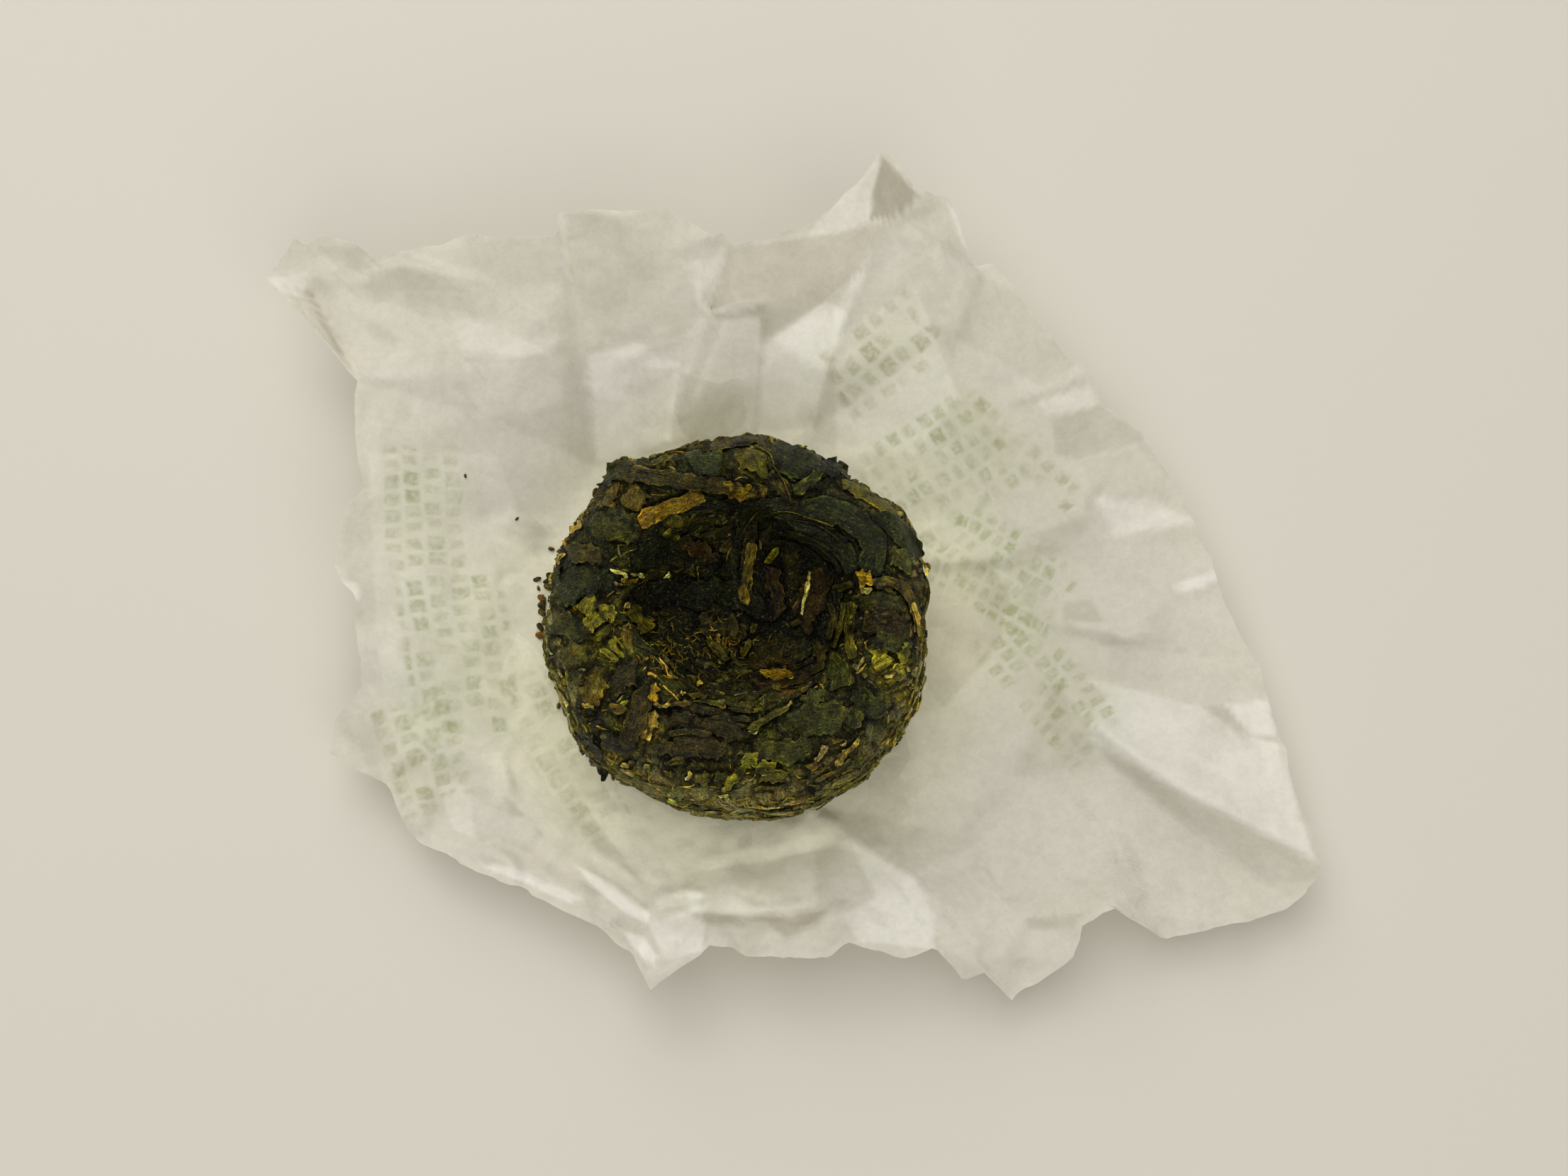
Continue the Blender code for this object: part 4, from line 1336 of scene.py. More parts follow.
# The opened wrapper's outline, anticlockwise seen from above, from its right corner. Each place:
# pixel across, pixel down, height above the table in mm.
tissueOutline = [
    (1866, 1234, 4.0), (1857, 1204, 4.0), (1822, 1105, 4.2), (1793, 996, 5.2), (1773, 937, 5.4),
    (1733, 856, 6.0), (1717, 818, 6.2), (1688, 732, 6.6), (1647, 672, 6.4), (1612, 608, 6.2),
    (1549, 567, 7.2), (1539, 527, 7.6), (1499, 503, 7.2), (1453, 434, 8.0), (1401, 370, 9.0),
    (1374, 373, 9.2), (1331, 279, 12.4), (1296, 274, 13.2), (1245, 219, 14.4), (1207, 266, 13.2),
    (1170, 298, 12.0), (1138, 322, 11.0), (1031, 354, 10.2), (1018, 322, 12.0), (1005, 330, 12.2),
    (942, 286, 13.2), (878, 304, 13.0), (788, 296, 12.5), (783, 328, 12.0), (638, 336, 11.0),
    (578, 359, 10.0), (531, 368, 9.4), (502, 345, 10.2), (459, 338, 10.2), (436, 351, 9.8),
    (419, 339, 10.2), (373, 392, 9.0), (440, 459, 9.0), (505, 538, 9.0), (505, 678, 9.0),
    (473, 767, 9.2), (471, 818, 9.2), (499, 842, 9.0), (505, 896, 9.0), (513, 966, 7.2),
    (470, 1015, 5.6), (464, 1064, 5.0), (540, 1105, 5.0), (589, 1185, 4.4), (678, 1231, 4.4),
    (816, 1288, 5.4), (891, 1344, 6.8), (918, 1399, 5.6), (1002, 1334, 6.6), (1051, 1350, 6.2),
    (1166, 1344, 7.0), (1196, 1329, 7.2), (1285, 1350, 6.0), (1320, 1339, 6.0), (1360, 1385, 4.0),
    (1385, 1369, 5.0), (1429, 1414, 3.0), (1514, 1353, 5.0), (1528, 1304, 6.0), (1574, 1283, 6.2),
    (1639, 1323, 3.2), (1733, 1304, 3.0), (1822, 1283, 3.2),
]
# Lines along which the sheet is bent, as places of the same kind
tissueCreases = [
    # far side, left of the middle
    [(803, 344, 10.5), (813, 459, 7.0), (825, 558, 4.2), (837, 655, 1.6)],
    [(790, 300, 12.5), (797, 400, 9.4)],
    [(517, 444, 8.6), (578, 486, 8.3), (640, 530, 7.8), (663, 578, 5.6)],
    [(643, 498, 8.5), (728, 508, 8.0), (773, 498, 7.7), (800, 470, 7.2)],
    [(688, 449, 9.2), (740, 482, 8.2)],
    [(535, 390, 9.4), (571, 376, 10.4), (640, 392, 9.9), (698, 399, 9.3)],
    [(519, 426, 8.0), (620, 450, 8.1)],
    [(385, 393, 9.0), (440, 390, 9.4), (470, 400, 9.2)],
    [(434, 414, 7.4), (489, 508, 7.4)],
    # far side, middle
    [(944, 290, 13.0), (957, 364, 11.4), (987, 425, 9.8)],
    [(1029, 358, 10.2), (1002, 436, 8.4)],
    [(958, 620, 2.6), (975, 520, 6.0), (987, 459, 8.4)],
    [(968, 632, 2.0), (996, 540, 5.6), (1022, 455, 8.9)],
    [(1060, 613, 1.6), (1066, 540, 4.7), (1074, 452, 8.0)],
    [(1003, 441, 9.0), (1040, 429, 9.6), (1079, 428, 9.2)],
    [(1083, 470, 7.8), (1140, 437, 8.8), (1189, 410, 10.0)],
    # peak and right flap
    [(1264, 309, 12.8), (1231, 362, 11.2), (1195, 460, 8.6), (1162, 528, 6.8), (1148, 603, 3.2)],
    [(1186, 334, 11.0), (1221, 306, 12.2), (1250, 300, 12.8)],
    [(1245, 225, 14.3), (1228, 292, 12.2)],
    [(1270, 305, 12.4), (1296, 282, 12.9), (1325, 284, 12.4)],
    [(1372, 384, 9.6), (1352, 430, 9.0), (1325, 480, 7.8)],
    [(1435, 566, 6.2), (1510, 535, 7.4), (1532, 533, 7.5)],
    # right side
    [(1515, 651, 5.6), (1590, 625, 6.4)],
    [(1301, 785, 1.8), (1371, 791, 3.0), (1435, 753, 4.4), (1515, 721, 5.8), (1537, 705, 6.2)],
    [(1540, 712, 5.6), (1570, 752, 4.6)],
    [(1576, 760, 4.9), (1640, 750, 5.4), (1680, 742, 6.4)],
    [(1655, 823, 5.2), (1710, 813, 6.2)],
    [(1494, 878, 4.4), (1563, 892, 4.9), (1588, 897, 5.5), (1681, 915, 4.5), (1764, 938, 5.4)],
    [(1530, 800, 3.6), (1600, 832, 4.3)],
    [(1490, 950, 3.6), (1570, 956, 3.8), (1680, 962, 4.0), (1770, 972, 4.7)],
    [(1531, 1013, 5.8), (1561, 986, 4.8), (1703, 992, 4.5), (1785, 995, 5.1)],
    [(1538, 1019, 5.8), (1649, 1107, 5.9), (1750, 1160, 5.3), (1847, 1206, 4.5)],
    [(1569, 1080, 3.2), (1703, 1187, 2.9), (1799, 1257, 2.8), (1816, 1280, 3.1)],
    # near side
    [(1148, 1139, 2.2), (1189, 1176, 3.2), (1280, 1241, 5.0), (1328, 1283, 5.8), (1362, 1350, 5.6)],
    [(1215, 1101, 0.9), (1221, 1150, 1.7)],
    [(1381, 1230, 4.2), (1414, 1270, 4.5), (1456, 1294, 4.8), (1505, 1283, 5.0)],
    [(1574, 1182, 3.6), (1601, 1251, 4.3), (1615, 1290, 4.4)],
    [(1365, 1230, 3.4), (1385, 1190, 2.9), (1405, 1150, 2.5), (1430, 1100, 2.0)],
    [(697, 1178, 4.2), (799, 1191, 3.6), (840, 1227, 4.0), (906, 1293, 4.4)],
    [(942, 1252, 3.4), (998, 1222, 2.8), (1075, 1217, 2.6), (1140, 1203, 2.6)],
    [(942, 1364, 6.4), (912, 1310, 5.8)],
    # left side
    [(718, 1069, 3.0), (715, 1099, 3.8), (733, 1140, 3.4)],
    [(667, 1099, 4.2), (672, 1168, 4.4)],
    [(692, 732, 3.2), (774, 775, 1.2)],
]
tissue = {
    "step": 0.13,  # grid of the height field
    "foot": 11.0,
    "footPoints": 30,
    "depth": 1.10,  # folds stand this many times as far from the calm sheet as drawn
    "pleatGain": 0.68,
    "shadeGain": 1.5,
    "calmReach": 3.6,
    "columns": 560,
    "footRows": 5,
    "rows": 80,
    "rowCrowding": 0.8,  # below 1 the rows lie closer towards the rim
    "thickness": 0.07,
    "grow": 24,  # cells that the height field reaches past the outline
    "calmFoot": (-1.0, 9.0),  # crumples set in between these distances from the foot's edge
    "crumples": [(6.2, 0.46, 3), (2.6, 0.25, 4), (1.1, 0.065, 5)],  # spacing, height, seed
    "rimCrumples": (1.5, 0.66, 8),
    "rimCurl": 0.45,
    "raggedRim": [(3.2, 0.34, 51), (1.3, 0.20, 52), (0.5, 0.07, 53)],  # spacing, size, seed
    "flat": (72.0, 70.0),
}
# Sharp folds, each a ridge (or a valley, below 0) with straight sides: height and the widths of
# its left and right sides in mm, then the pixels along it. Going right, its left side is the far one.
pleats = [
    # far side, left of the middle
    (0.55, 1.6, 0.9, [(513, 444), (575, 487), (640, 530)]),
    (0.4, 0.6, 0.6, [(646, 516), (655, 548), (663, 584)]),
    (0.42, 1.3, 1.8, [(647, 501), (690, 507), (731, 508), (778, 500), (822, 476)]),
    (-0.32, 1.8, 1.5, [(632, 438), (706, 461), (780, 501)]),
    (0.6, 0.9, 1.6, [(513, 404), (530, 384), (572, 377), (640, 391), (700, 400)]),
    (-0.16, 0.6, 1.1, [(803, 402), (811, 452), (818, 510), (830, 600), (841, 684)]),
    (0.3, 0.5, 1.2, [(782, 297), (792, 350), (803, 402)]),
    # far side, middle
    (0.5, 0.9, 0.9, [(866, 514), (895, 503), (929, 474), (963, 474)]),
    (0.8, 0.5, 0.5, [(1004, 442), (1044, 431), (1082, 428)]),
    (-0.35, 0.5, 0.9, [(1071, 446), (1073, 495), (1062, 560), (1060, 608)]),
    (-0.6, 1.6, 1.6, [(1072, 488), (1120, 455), (1168, 421)]),
    # peak and right flap
    (0.8, 1.1, 1.9, [(1258, 312), (1232, 368), (1199, 436), (1165, 524), (1148, 612)]),
    (0.5, 0.7, 1.0, [(1250, 313), (1290, 294), (1331, 280)]),
    (0.2, 0.8, 0.8, [(1243, 220), (1232, 265), (1228, 308)]),
    (0.45, 1.6, 1.2, [(1378, 380), (1355, 430), (1336, 476)]),
    (0.4, 0.7, 1.1, [(1422, 566), (1485, 545), (1534, 529)]),
    # right side
    (0.4, 0.6, 1.1, [(1519, 650), (1560, 640), (1618, 620)]),
    (-0.45, 0.5, 0.5, [(1529, 703), (1550, 724), (1571, 753)]),
    (0.5, 1.6, 0.8, [(1571, 757), (1630, 748), (1694, 738)]),
    (0.9, 0.9, 1.6, [(1296, 790), (1418, 783), (1452, 754), (1500, 735), (1542, 719)]),
    (0.4, 0.5, 0.8, [(1454, 767), (1482, 765), (1513, 765)]),
    (0.6, 0.5, 0.8, [(1650, 829), (1690, 821), (1719, 811)]),
    (0.7, 0.8, 1.2, [(1496, 878), (1545, 882), (1582, 900), (1608, 892), (1652, 889)]),
    (0.4, 0.6, 0.6, [(1540, 848), (1561, 879), (1582, 899)]),
    (-0.4, 1.0, 1.0, [(1596, 908), (1690, 920), (1774, 936)]),
    (-0.6, 1.9, 1.8, [(1534, 957), (1620, 977), (1696, 998), (1747, 1031), (1803, 1044)]),
    (0.7, 2.6, 1.4, [(1534, 1042), (1646, 1107), (1751, 1158), (1856, 1214)]),
    (-0.35, 0.6, 0.6, [(1752, 1040), (1776, 1044), (1806, 1044)]),
    # near side
    (0.4, 0.6, 0.6, [(1576, 1176), (1595, 1225), (1613, 1273)]),
    (0.35, 0.5, 0.5, [(1526, 1124), (1536, 1142), (1546, 1160)]),
    (0.4, 1.8, 1.8, [(1481, 1058), (1452, 1116), (1389, 1179), (1349, 1252)]),
    (0.6, 0.7, 0.9, [(1380, 1223), (1412, 1271), (1450, 1293), (1521, 1285)]),
    (0.6, 1.2, 1.2, [(1150, 1137), (1198, 1180), (1294, 1239), (1369, 1325), (1412, 1386)]),
    (-0.45, 1.2, 1.4, [(965, 1257), (994, 1231), (1101, 1212), (1189, 1190)]),
    (-0.4, 0.8, 0.6, [(966, 1286), (1040, 1293), (1101, 1293), (1170, 1283), (1237, 1270)]),
    (0.7, 0.5, 0.6, [(903, 1288), (935, 1262), (967, 1256), (996, 1260)]),
    (0.6, 0.5, 0.5, [(922, 1302), (950, 1290), (976, 1284), (992, 1272)]),
    (-0.6, 0.7, 0.7, [(992, 1262), (986, 1300), (996, 1330)]),
    (0.65, 0.8, 0.8, [(812, 1220), (860, 1250), (898, 1281), (922, 1300)]),
    (-0.3, 0.5, 0.5, [(842, 1226), (878, 1254), (912, 1284)]),
    (0.45, 0.8, 0.8, [(640, 1190), (690, 1207), (760, 1233), (822, 1264)]),
    (-0.35, 0.8, 0.8, [(690, 1182), (742, 1204), (800, 1226)]),
    # left side
    (0.3, 0.6, 0.6, [(704, 1064), (714, 1090), (722, 1116)]),
    (-0.25, 0.6, 0.6, [(712, 1126), (726, 1140), (744, 1152)]),
    (0.34, 0.5, 0.5, [(834, 1201), (870, 1222), (904, 1247)]),
    (0.45, 1.2, 0.6, [(669, 1104), (672, 1140), (673, 1184)]),
    (0.3, 0.5, 0.5, [(694, 733), (736, 752), (776, 776)]),
]
# Painted shade and painted light on the sheet: darker where it lies double and less light comes through,
# where a facet is turned from the light and beside the nest where its shadow falls; single sunlit facets
# are painted lighter. Each: the darkening, below 0 for lighter, then the corners in pixels
shadedFacets = [
    # peak
    (0.16, [(1243, 219), (1296, 277), (1268, 302), (1226, 311)]),
    (-0.05, [(1241, 222), (1226, 308), (1186, 330), (1140, 330), (1160, 300), (1204, 266)]),
    (0.04, [(1262, 309), (1300, 292), (1329, 283), (1318, 300), (1286, 312)]),
    # far side, middle
    (0.07, [(1030, 352), (1186, 328), (1258, 312), (1232, 368), (1165, 423), (1077, 478), (1073, 438),
        (1001, 440)]),
    (-0.1, [(1008, 441), (1022, 432), (1048, 426), (1078, 427), (1062, 436), (1036, 441)]),
    (0.07, [(1004, 443), (1040, 443), (1078, 432), (1072, 448), (1020, 452)]),
    (-0.06, [(1022, 449), (1070, 442), (1073, 495), (1060, 606), (962, 622), (985, 540)]),
    (-0.08, [(1078, 487), (1165, 424), (1196, 440), (1165, 523), (1146, 610), (1070, 612)]),
    # right flap
    (-0.05, [(1256, 316), (1230, 368), (1197, 436), (1180, 470), (1176, 440), (1214, 372)]),
    (-0.01, [(1260, 320), (1300, 330), (1262, 400), (1230, 470), (1172, 540), (1204, 440), (1236, 372)]),
    (0.01, [(1310, 380), (1374, 382), (1340, 472), (1306, 440)]),
    (0.04, [(1380, 384), (1440, 420), (1519, 516), (1470, 545), (1344, 474)]),
    (-0.09, [(1336, 288), (1352, 300), (1386, 366), (1376, 372), (1350, 330)]),
    (0.04, [(1420, 570), (1485, 549), (1534, 531), (1530, 541), (1480, 562), (1424, 580)]),
    (-0.05, [(1464, 566), (1536, 543), (1548, 572), (1500, 586), (1476, 582)]),
    # right side
    (0.06, [(1485, 590), (1548, 570), (1620, 620), (1519, 648), (1488, 640)]),
    (0.02, [(1523, 654), (1620, 624), (1672, 690), (1692, 734), (1545, 699)]),
    (-0.06, [(1545, 700), (1625, 704), (1690, 735), (1571, 758)]),
    (0.03, [(1464, 757), (1540, 726), (1524, 756), (1466, 766)]),
    (0.06, [(1300, 794), (1420, 788), (1452, 768), (1500, 772), (1440, 800), (1330, 808)]),
    (-0.1, [(1652, 826), (1688, 816), (1716, 806), (1718, 818), (1690, 830), (1660, 836)]),
    (0.06, [(1500, 850), (1538, 846), (1560, 878), (1500, 876)]),
    (0.06, [(1500, 888), (1545, 888), (1592, 904), (1690, 924), (1770, 938), (1640, 912), (1560, 912)]),
    (-0.07, [(1536, 959), (1620, 978), (1696, 999), (1747, 1032), (1801, 1046), (1852, 1211), (1751, 1157),
        (1646, 1106), (1536, 1043), (1531, 1012), (1561, 986)]),
    (-0.09, [(1727, 992), (1786, 990), (1799, 1038), (1762, 1034)]),
    (0.05, [(1700, 998), (1727, 994), (1764, 1038), (1800, 1042), (1752, 1046)]),
    (0.02, [(1545, 1052), (1646, 1111), (1751, 1162), (1862, 1220), (1868, 1240), (1816, 1270),
        (1703, 1187), (1590, 1100)]),
    # near side
    (-0.05, [(820, 1130), (880, 1110), (1150, 1150), (1187, 1190), (1101, 1211), (994, 1230), (960, 1260),
        (900, 1240)]),
    (-0.08, [(968, 1256), (994, 1233), (1101, 1214), (1150, 1204), (1152, 1280), (1040, 1290),
        (972, 1284)]),
    (-0.08, [(1200, 1188), (1292, 1242), (1318, 1290), (1316, 1338), (1210, 1330), (1190, 1290),
        (1236, 1268)]),
    (0.07, [(968, 1289), (1101, 1295), (1170, 1286), (1150, 1310), (1108, 1322), (1080, 1300),
        (1000, 1304)]),
    (0.07, [(1440, 1296), (1530, 1288), (1516, 1306), (1462, 1312)]),
    (-0.08, [(908, 1290), (936, 1262), (990, 1260), (994, 1340), (940, 1356)]),
    (-0.11, [(812, 1222), (864, 1246), (918, 1290), (912, 1304), (880, 1286), (838, 1252)]),
    (-0.09, [(678, 1222), (700, 1218), (752, 1234), (818, 1266), (808, 1276), (740, 1246)]),
    (-0.11, [(880, 1316), (906, 1320), (930, 1352), (920, 1360), (896, 1344)]),
    # left side and far left
    (-0.04, [(616, 1102), (666, 1110), (670, 1182), (640, 1172)]),
    (0.06, [(714, 1126), (726, 1132), (742, 1152), (718, 1154)]),
    (-0.01, [(512, 452), (640, 532), (656, 562), (664, 596), (600, 600), (548, 560), (508, 520)]),
    (-0.05, [(656, 512), (731, 511), (800, 500), (790, 570), (664, 590)]),
    (-0.03, [(636, 441), (706, 463), (778, 500), (731, 506), (652, 494)]),
    (0.035, [(512, 402), (530, 384), (572, 378), (640, 392), (698, 401), (650, 412), (570, 410),
        (530, 428)]),
    (0.03, [(572, 414), (650, 416), (700, 404), (702, 436), (690, 446), (630, 436)]),
    (-0.06, [(783, 300), (796, 300), (806, 398), (801, 402)]),
    # beyond the nest, and round it
    (-0.08, [(830, 500), (930, 478), (964, 474), (944, 620), (900, 645), (845, 650)]),
    (0.015, [(824, 303), (878, 304), (942, 292), (950, 360), (930, 440), (820, 450), (810, 400)]),
    (-0.04, [(966, 352), (1024, 346), (1000, 436), (990, 440)]),
    (-0.06, [(963, 476), (990, 442), (1000, 450), (962, 560), (946, 624), (938, 622), (950, 540)]),
    (0.085, [(1302, 796), (1390, 792), (1424, 836), (1410, 910), (1330, 1000), (1300, 960)]),
    (-0.07, [(373, 392), (442, 386), (436, 398), (420, 422), (396, 410)]),
    (0.1, [(432, 410), (440, 412), (486, 500), (478, 500), (446, 446)]),
    (0.05, [(446, 346), (515, 350), (510, 386), (472, 372)]),
    (-0.035, [(520, 640), (700, 640), (760, 800), (770, 960), (700, 1080), (560, 1060), (530, 900)]),
    (-0.05, [(1176, 480), (1290, 400), (1352, 560), (1290, 640), (1180, 640)]),
    (-0.1, [(480, 822), (506, 824), (506, 846), (486, 846)]),
    (0.02, [(470, 1015), (464, 1064), (540, 1105), (560, 1060), (520, 1000)]),
]
outlinePlaces = np.array([atHeight(px, py, height) for px, py, height in tissueOutline])


def meshedPlaces(places, lines):
    # Delaunay triangles that keep the given lines as edges. A point made where lines cross takes
    # the mean height of the corners it shares triangles with.
    flat = [Vector((p[0], p[1])) for p in places]
    spots, _, faces, origins = delaunay_2d_cdt(flat, lines, [], 0, 1e-4)[:4]
    height = [np.mean([places[i][2] for i in found]) if found else None for found in origins]
    for index, value in enumerate(height):
        if value is None:
            around = [height[i] for face in faces if index in face for i in face if i != index]
            known = [item for item in around if item is not None]
            height[index] = float(np.mean(known)) if known else 0.0
    corners = np.array([(spot[0], spot[1], z) for spot, z in zip(spots, height)])
    return [corners[list(face)] for face in faces]


gridX = np.arange(outlinePlaces[:, 0].min() - 2, outlinePlaces[:, 0].max() + 2, tissue["step"])
gridY = np.arange(outlinePlaces[:, 1].min() - 2, outlinePlaces[:, 1].max() + 2, tissue["step"])


def filledField(triangles):
    # flat facets: inside each triangle the height is the weighted mean of its three corners.
    # Cells outside them all take their neighbours' mean.
    field = np.full((len(gridY), len(gridX)), np.nan)
    for corners in triangles:
        a, b, c = corners
        low, high = corners.min(0), corners.max(0)
        i0, i1 = np.searchsorted(gridX, [low[0], high[0]])
        j0, j1 = np.searchsorted(gridY, [low[1], high[1]])
        (bx, by, bz), (cx, cy, cz) = b - a, c - a
        area = bx * cy - cx * by
        if i0 == i1 or j0 == j1 or abs(area) < 1e-9:
            continue
        x, y = gridX[None, i0:i1] - a[0], gridY[j0:j1, None] - a[1]
        second, third = (x * cy - cx * y) / area, (bx * y - x * by) / area
        within = (second > -1e-6) & (third > -1e-6) & (second + third < 1 + 1e-6)
        field[j0:j1, i0:i1][within] = (a[2] + second * bz + third * cz)[within]
    inside = ~np.isnan(field)
    return np.nan_to_num(grownInto(field, tissue["grow"])), inside


def crumpleField(spacing, height, seed):
    # a crumpled sheet: facets between jittered points at chance heights
    draw = np.random.default_rng(seed)
    lines = (np.arange(line[0] - spacing, line[-1] + spacing, spacing) for line in (gridX, gridY))
    x, y = np.meshgrid(*lines)
    places = np.stack([x, y, 0 * x], -1).reshape(-1, 3)
    places[:, :2] += draw.uniform(-0.48, 0.48, (len(places), 2)) * spacing
    places[:, 2] = draw.uniform(-height, height, len(places))
    return filledField(meshedPlaces(places, []))[0]


def sampleField(field, x, y):
    # the field's height at any place in mm
    return readTable(field, (x - gridX[0]) / tissue["step"], (y - gridY[0]) / tissue["step"])


def fromSpan(x, y, start, end):
    # a place's share of the way along a straight span, and the way to it from there
    step = end - start
    along = np.clip(((x - start[0]) * step[0] + (y - start[1]) * step[1]) / (step @ step), 0, 1)
    return along, x - start[0] - along * step[0], y - start[1] - along * step[1]


def pleated(field, lift, left, right, line):
    # the line's pixels are met with the sheet as it is, then the height of a ridge is added: lift
    # at the line, falling straight to 0 at each side's width, and less towards the line's ends
    height = np.full(len(line), 4.0)
    for _ in range(4):
        places = atHeight(line[:, 0], line[:, 1], height)
        height = sampleField(field, places[:, 0], places[:, 1])
    places = places[:, :2]
    run = runAlong(places)
    wide = max(left, right) + 0.2
    low, high = places.min(0) - wide, places.max(0) + wide
    i0, i1 = np.searchsorted(gridX, [low[0], high[0]])
    j0, j1 = np.searchsorted(gridY, [low[1], high[1]])
    x, y = np.meshgrid(gridX[i0:i1], gridY[j0:j1])
    best, added = np.full(x.shape, 1e9), np.zeros(x.shape)
    for k, (start, end) in enumerate(zip(places, places[1:])):
        along, gapX, gapY = fromSpan(x, y, start, end)
        gap = np.hypot(gapX, gapY)
        width = np.where((end - start)[0] * gapY - (end - start)[1] * gapX > 0, left, right)
        share = (run[k] + along * (run[k + 1] - run[k])) / run[-1]
        ends = smoothStep(0.0, 0.12, share) * smoothStep(1.0, 0.88, share)
        rise = lift * np.maximum(0.0, 1.0 - gap / width) * (0.15 + 0.85 * ends)
        added = np.where(gap < best, rise, added)
        best = np.minimum(best, gap)
    field[j0:j1, i0:i1] += added
    return field


def tissueField():
    # the named folds, softened a little, plus crumples that fade out under the nest. Near the rim
    # there are more of them, most at the near side, and the very edge curls up and down.
    places = [tuple(place) for place in outlinePlaces]
    turns = roundSteps(tissue["footPoints"])
    rim, foot = len(places), len(turns)
    places += [(tissue["foot"] * math.cos(turn), tissue["foot"] * math.sin(turn), 0.0) for turn in turns]
    lines = [(k, (k + 1) % rim) for k in range(rim)] + [(rim + k, rim + (k + 1) % foot) for k in range(foot)]
    for crease in tissueCreases:
        start = len(places)
        places += [tuple(atHeight(*place)) for place in crease]
        lines += [(start + k, start + k + 1) for k in range(len(crease) - 1)]
    field, inside = filledField(meshedPlaces(places, lines))
    field = np.where(inside, softened(field, 1), field)
    reach = round(tissue["calmReach"] / tissue["step"])
    calm = softened(field * inside, reach) / np.maximum(softened(inside * 1.0, reach), 1e-3)
    x, y = np.meshgrid(gridX, gridY)
    away = np.hypot(x, y)
    out = smoothStep(*(tissue["foot"] + step for step in tissue["calmFoot"]), away)
    field = np.where(inside, calm + (1 + (tissue["depth"] - 1) * out) * (field - calm), field)
    for lift, left, right, line in pleats:
        field = pleated(field, tissue["pleatGain"] * lift, left, right, np.array(line, float))
    for crumples in tissue["crumples"]:
        field = field + out * crumpleField(*crumples)
    nearSide = smoothStep(0.1, 0.7, -y / away) * smoothStep(24.0, 8.0, x)
    depth = np.interp(np.arctan2(y, x), *outlineReach(), period=2 * math.pi) - away
    atRim = smoothStep(9.0, 2.0, depth) * (0.25 + 0.75 * nearSide)
    field = field + crumpleField(*tissue["rimCrumples"]) * atRim
    curl = softNoise(np.stack([x, y, 0 * x], -1), 3.4, 91)
    field = field + tissue["rimCurl"] * curl * smoothStep(2.4, 0.0, depth)
    return np.maximum(field, 0.0)


def outlineReach():
    # the outline's angles, in order, and its distance from the middle at each
    angle = np.arctan2(outlinePlaces[:, 1], outlinePlaces[:, 0])
    order = np.argsort(angle)
    return angle[order], np.hypot(outlinePlaces[:, 0], outlinePlaces[:, 1])[order]


def facetPaintedShade(places):
    # the painted shade and painted light of each listed facet, the darker a little warmer, over a border of
    # about half a millimetre: a pixel is inside when a level line from it crosses the sides an odd number of
    # times
    px, py, _ = toPixel(places)
    shade = np.ones(len(places))
    for dark, corners in shadedFacets:
        corners = np.array(corners, float)
        odd = np.zeros(len(places), bool)
        gap = np.full(len(places), 1e9)
        for start, end in zip(corners, np.roll(corners, -1, axis=0)):
            crossed = (px - start[0]) < (end - start)[0] * (py - start[1]) / ((end - start)[1] + 1e-9)
            odd ^= ((start[1] > py) != (end[1] > py)) & crossed
            _, gapX, gapY = fromSpan(px, py, start, end)
            gap = np.minimum(gap, np.hypot(gapX, gapY))
        shade = shade * (1 - tissue["shadeGain"] * dark * smoothStep(-2.5, 2.5, np.where(odd, gap, -gap)))
    return np.stack([shade, shade**1.08, shade**1.4], -1)


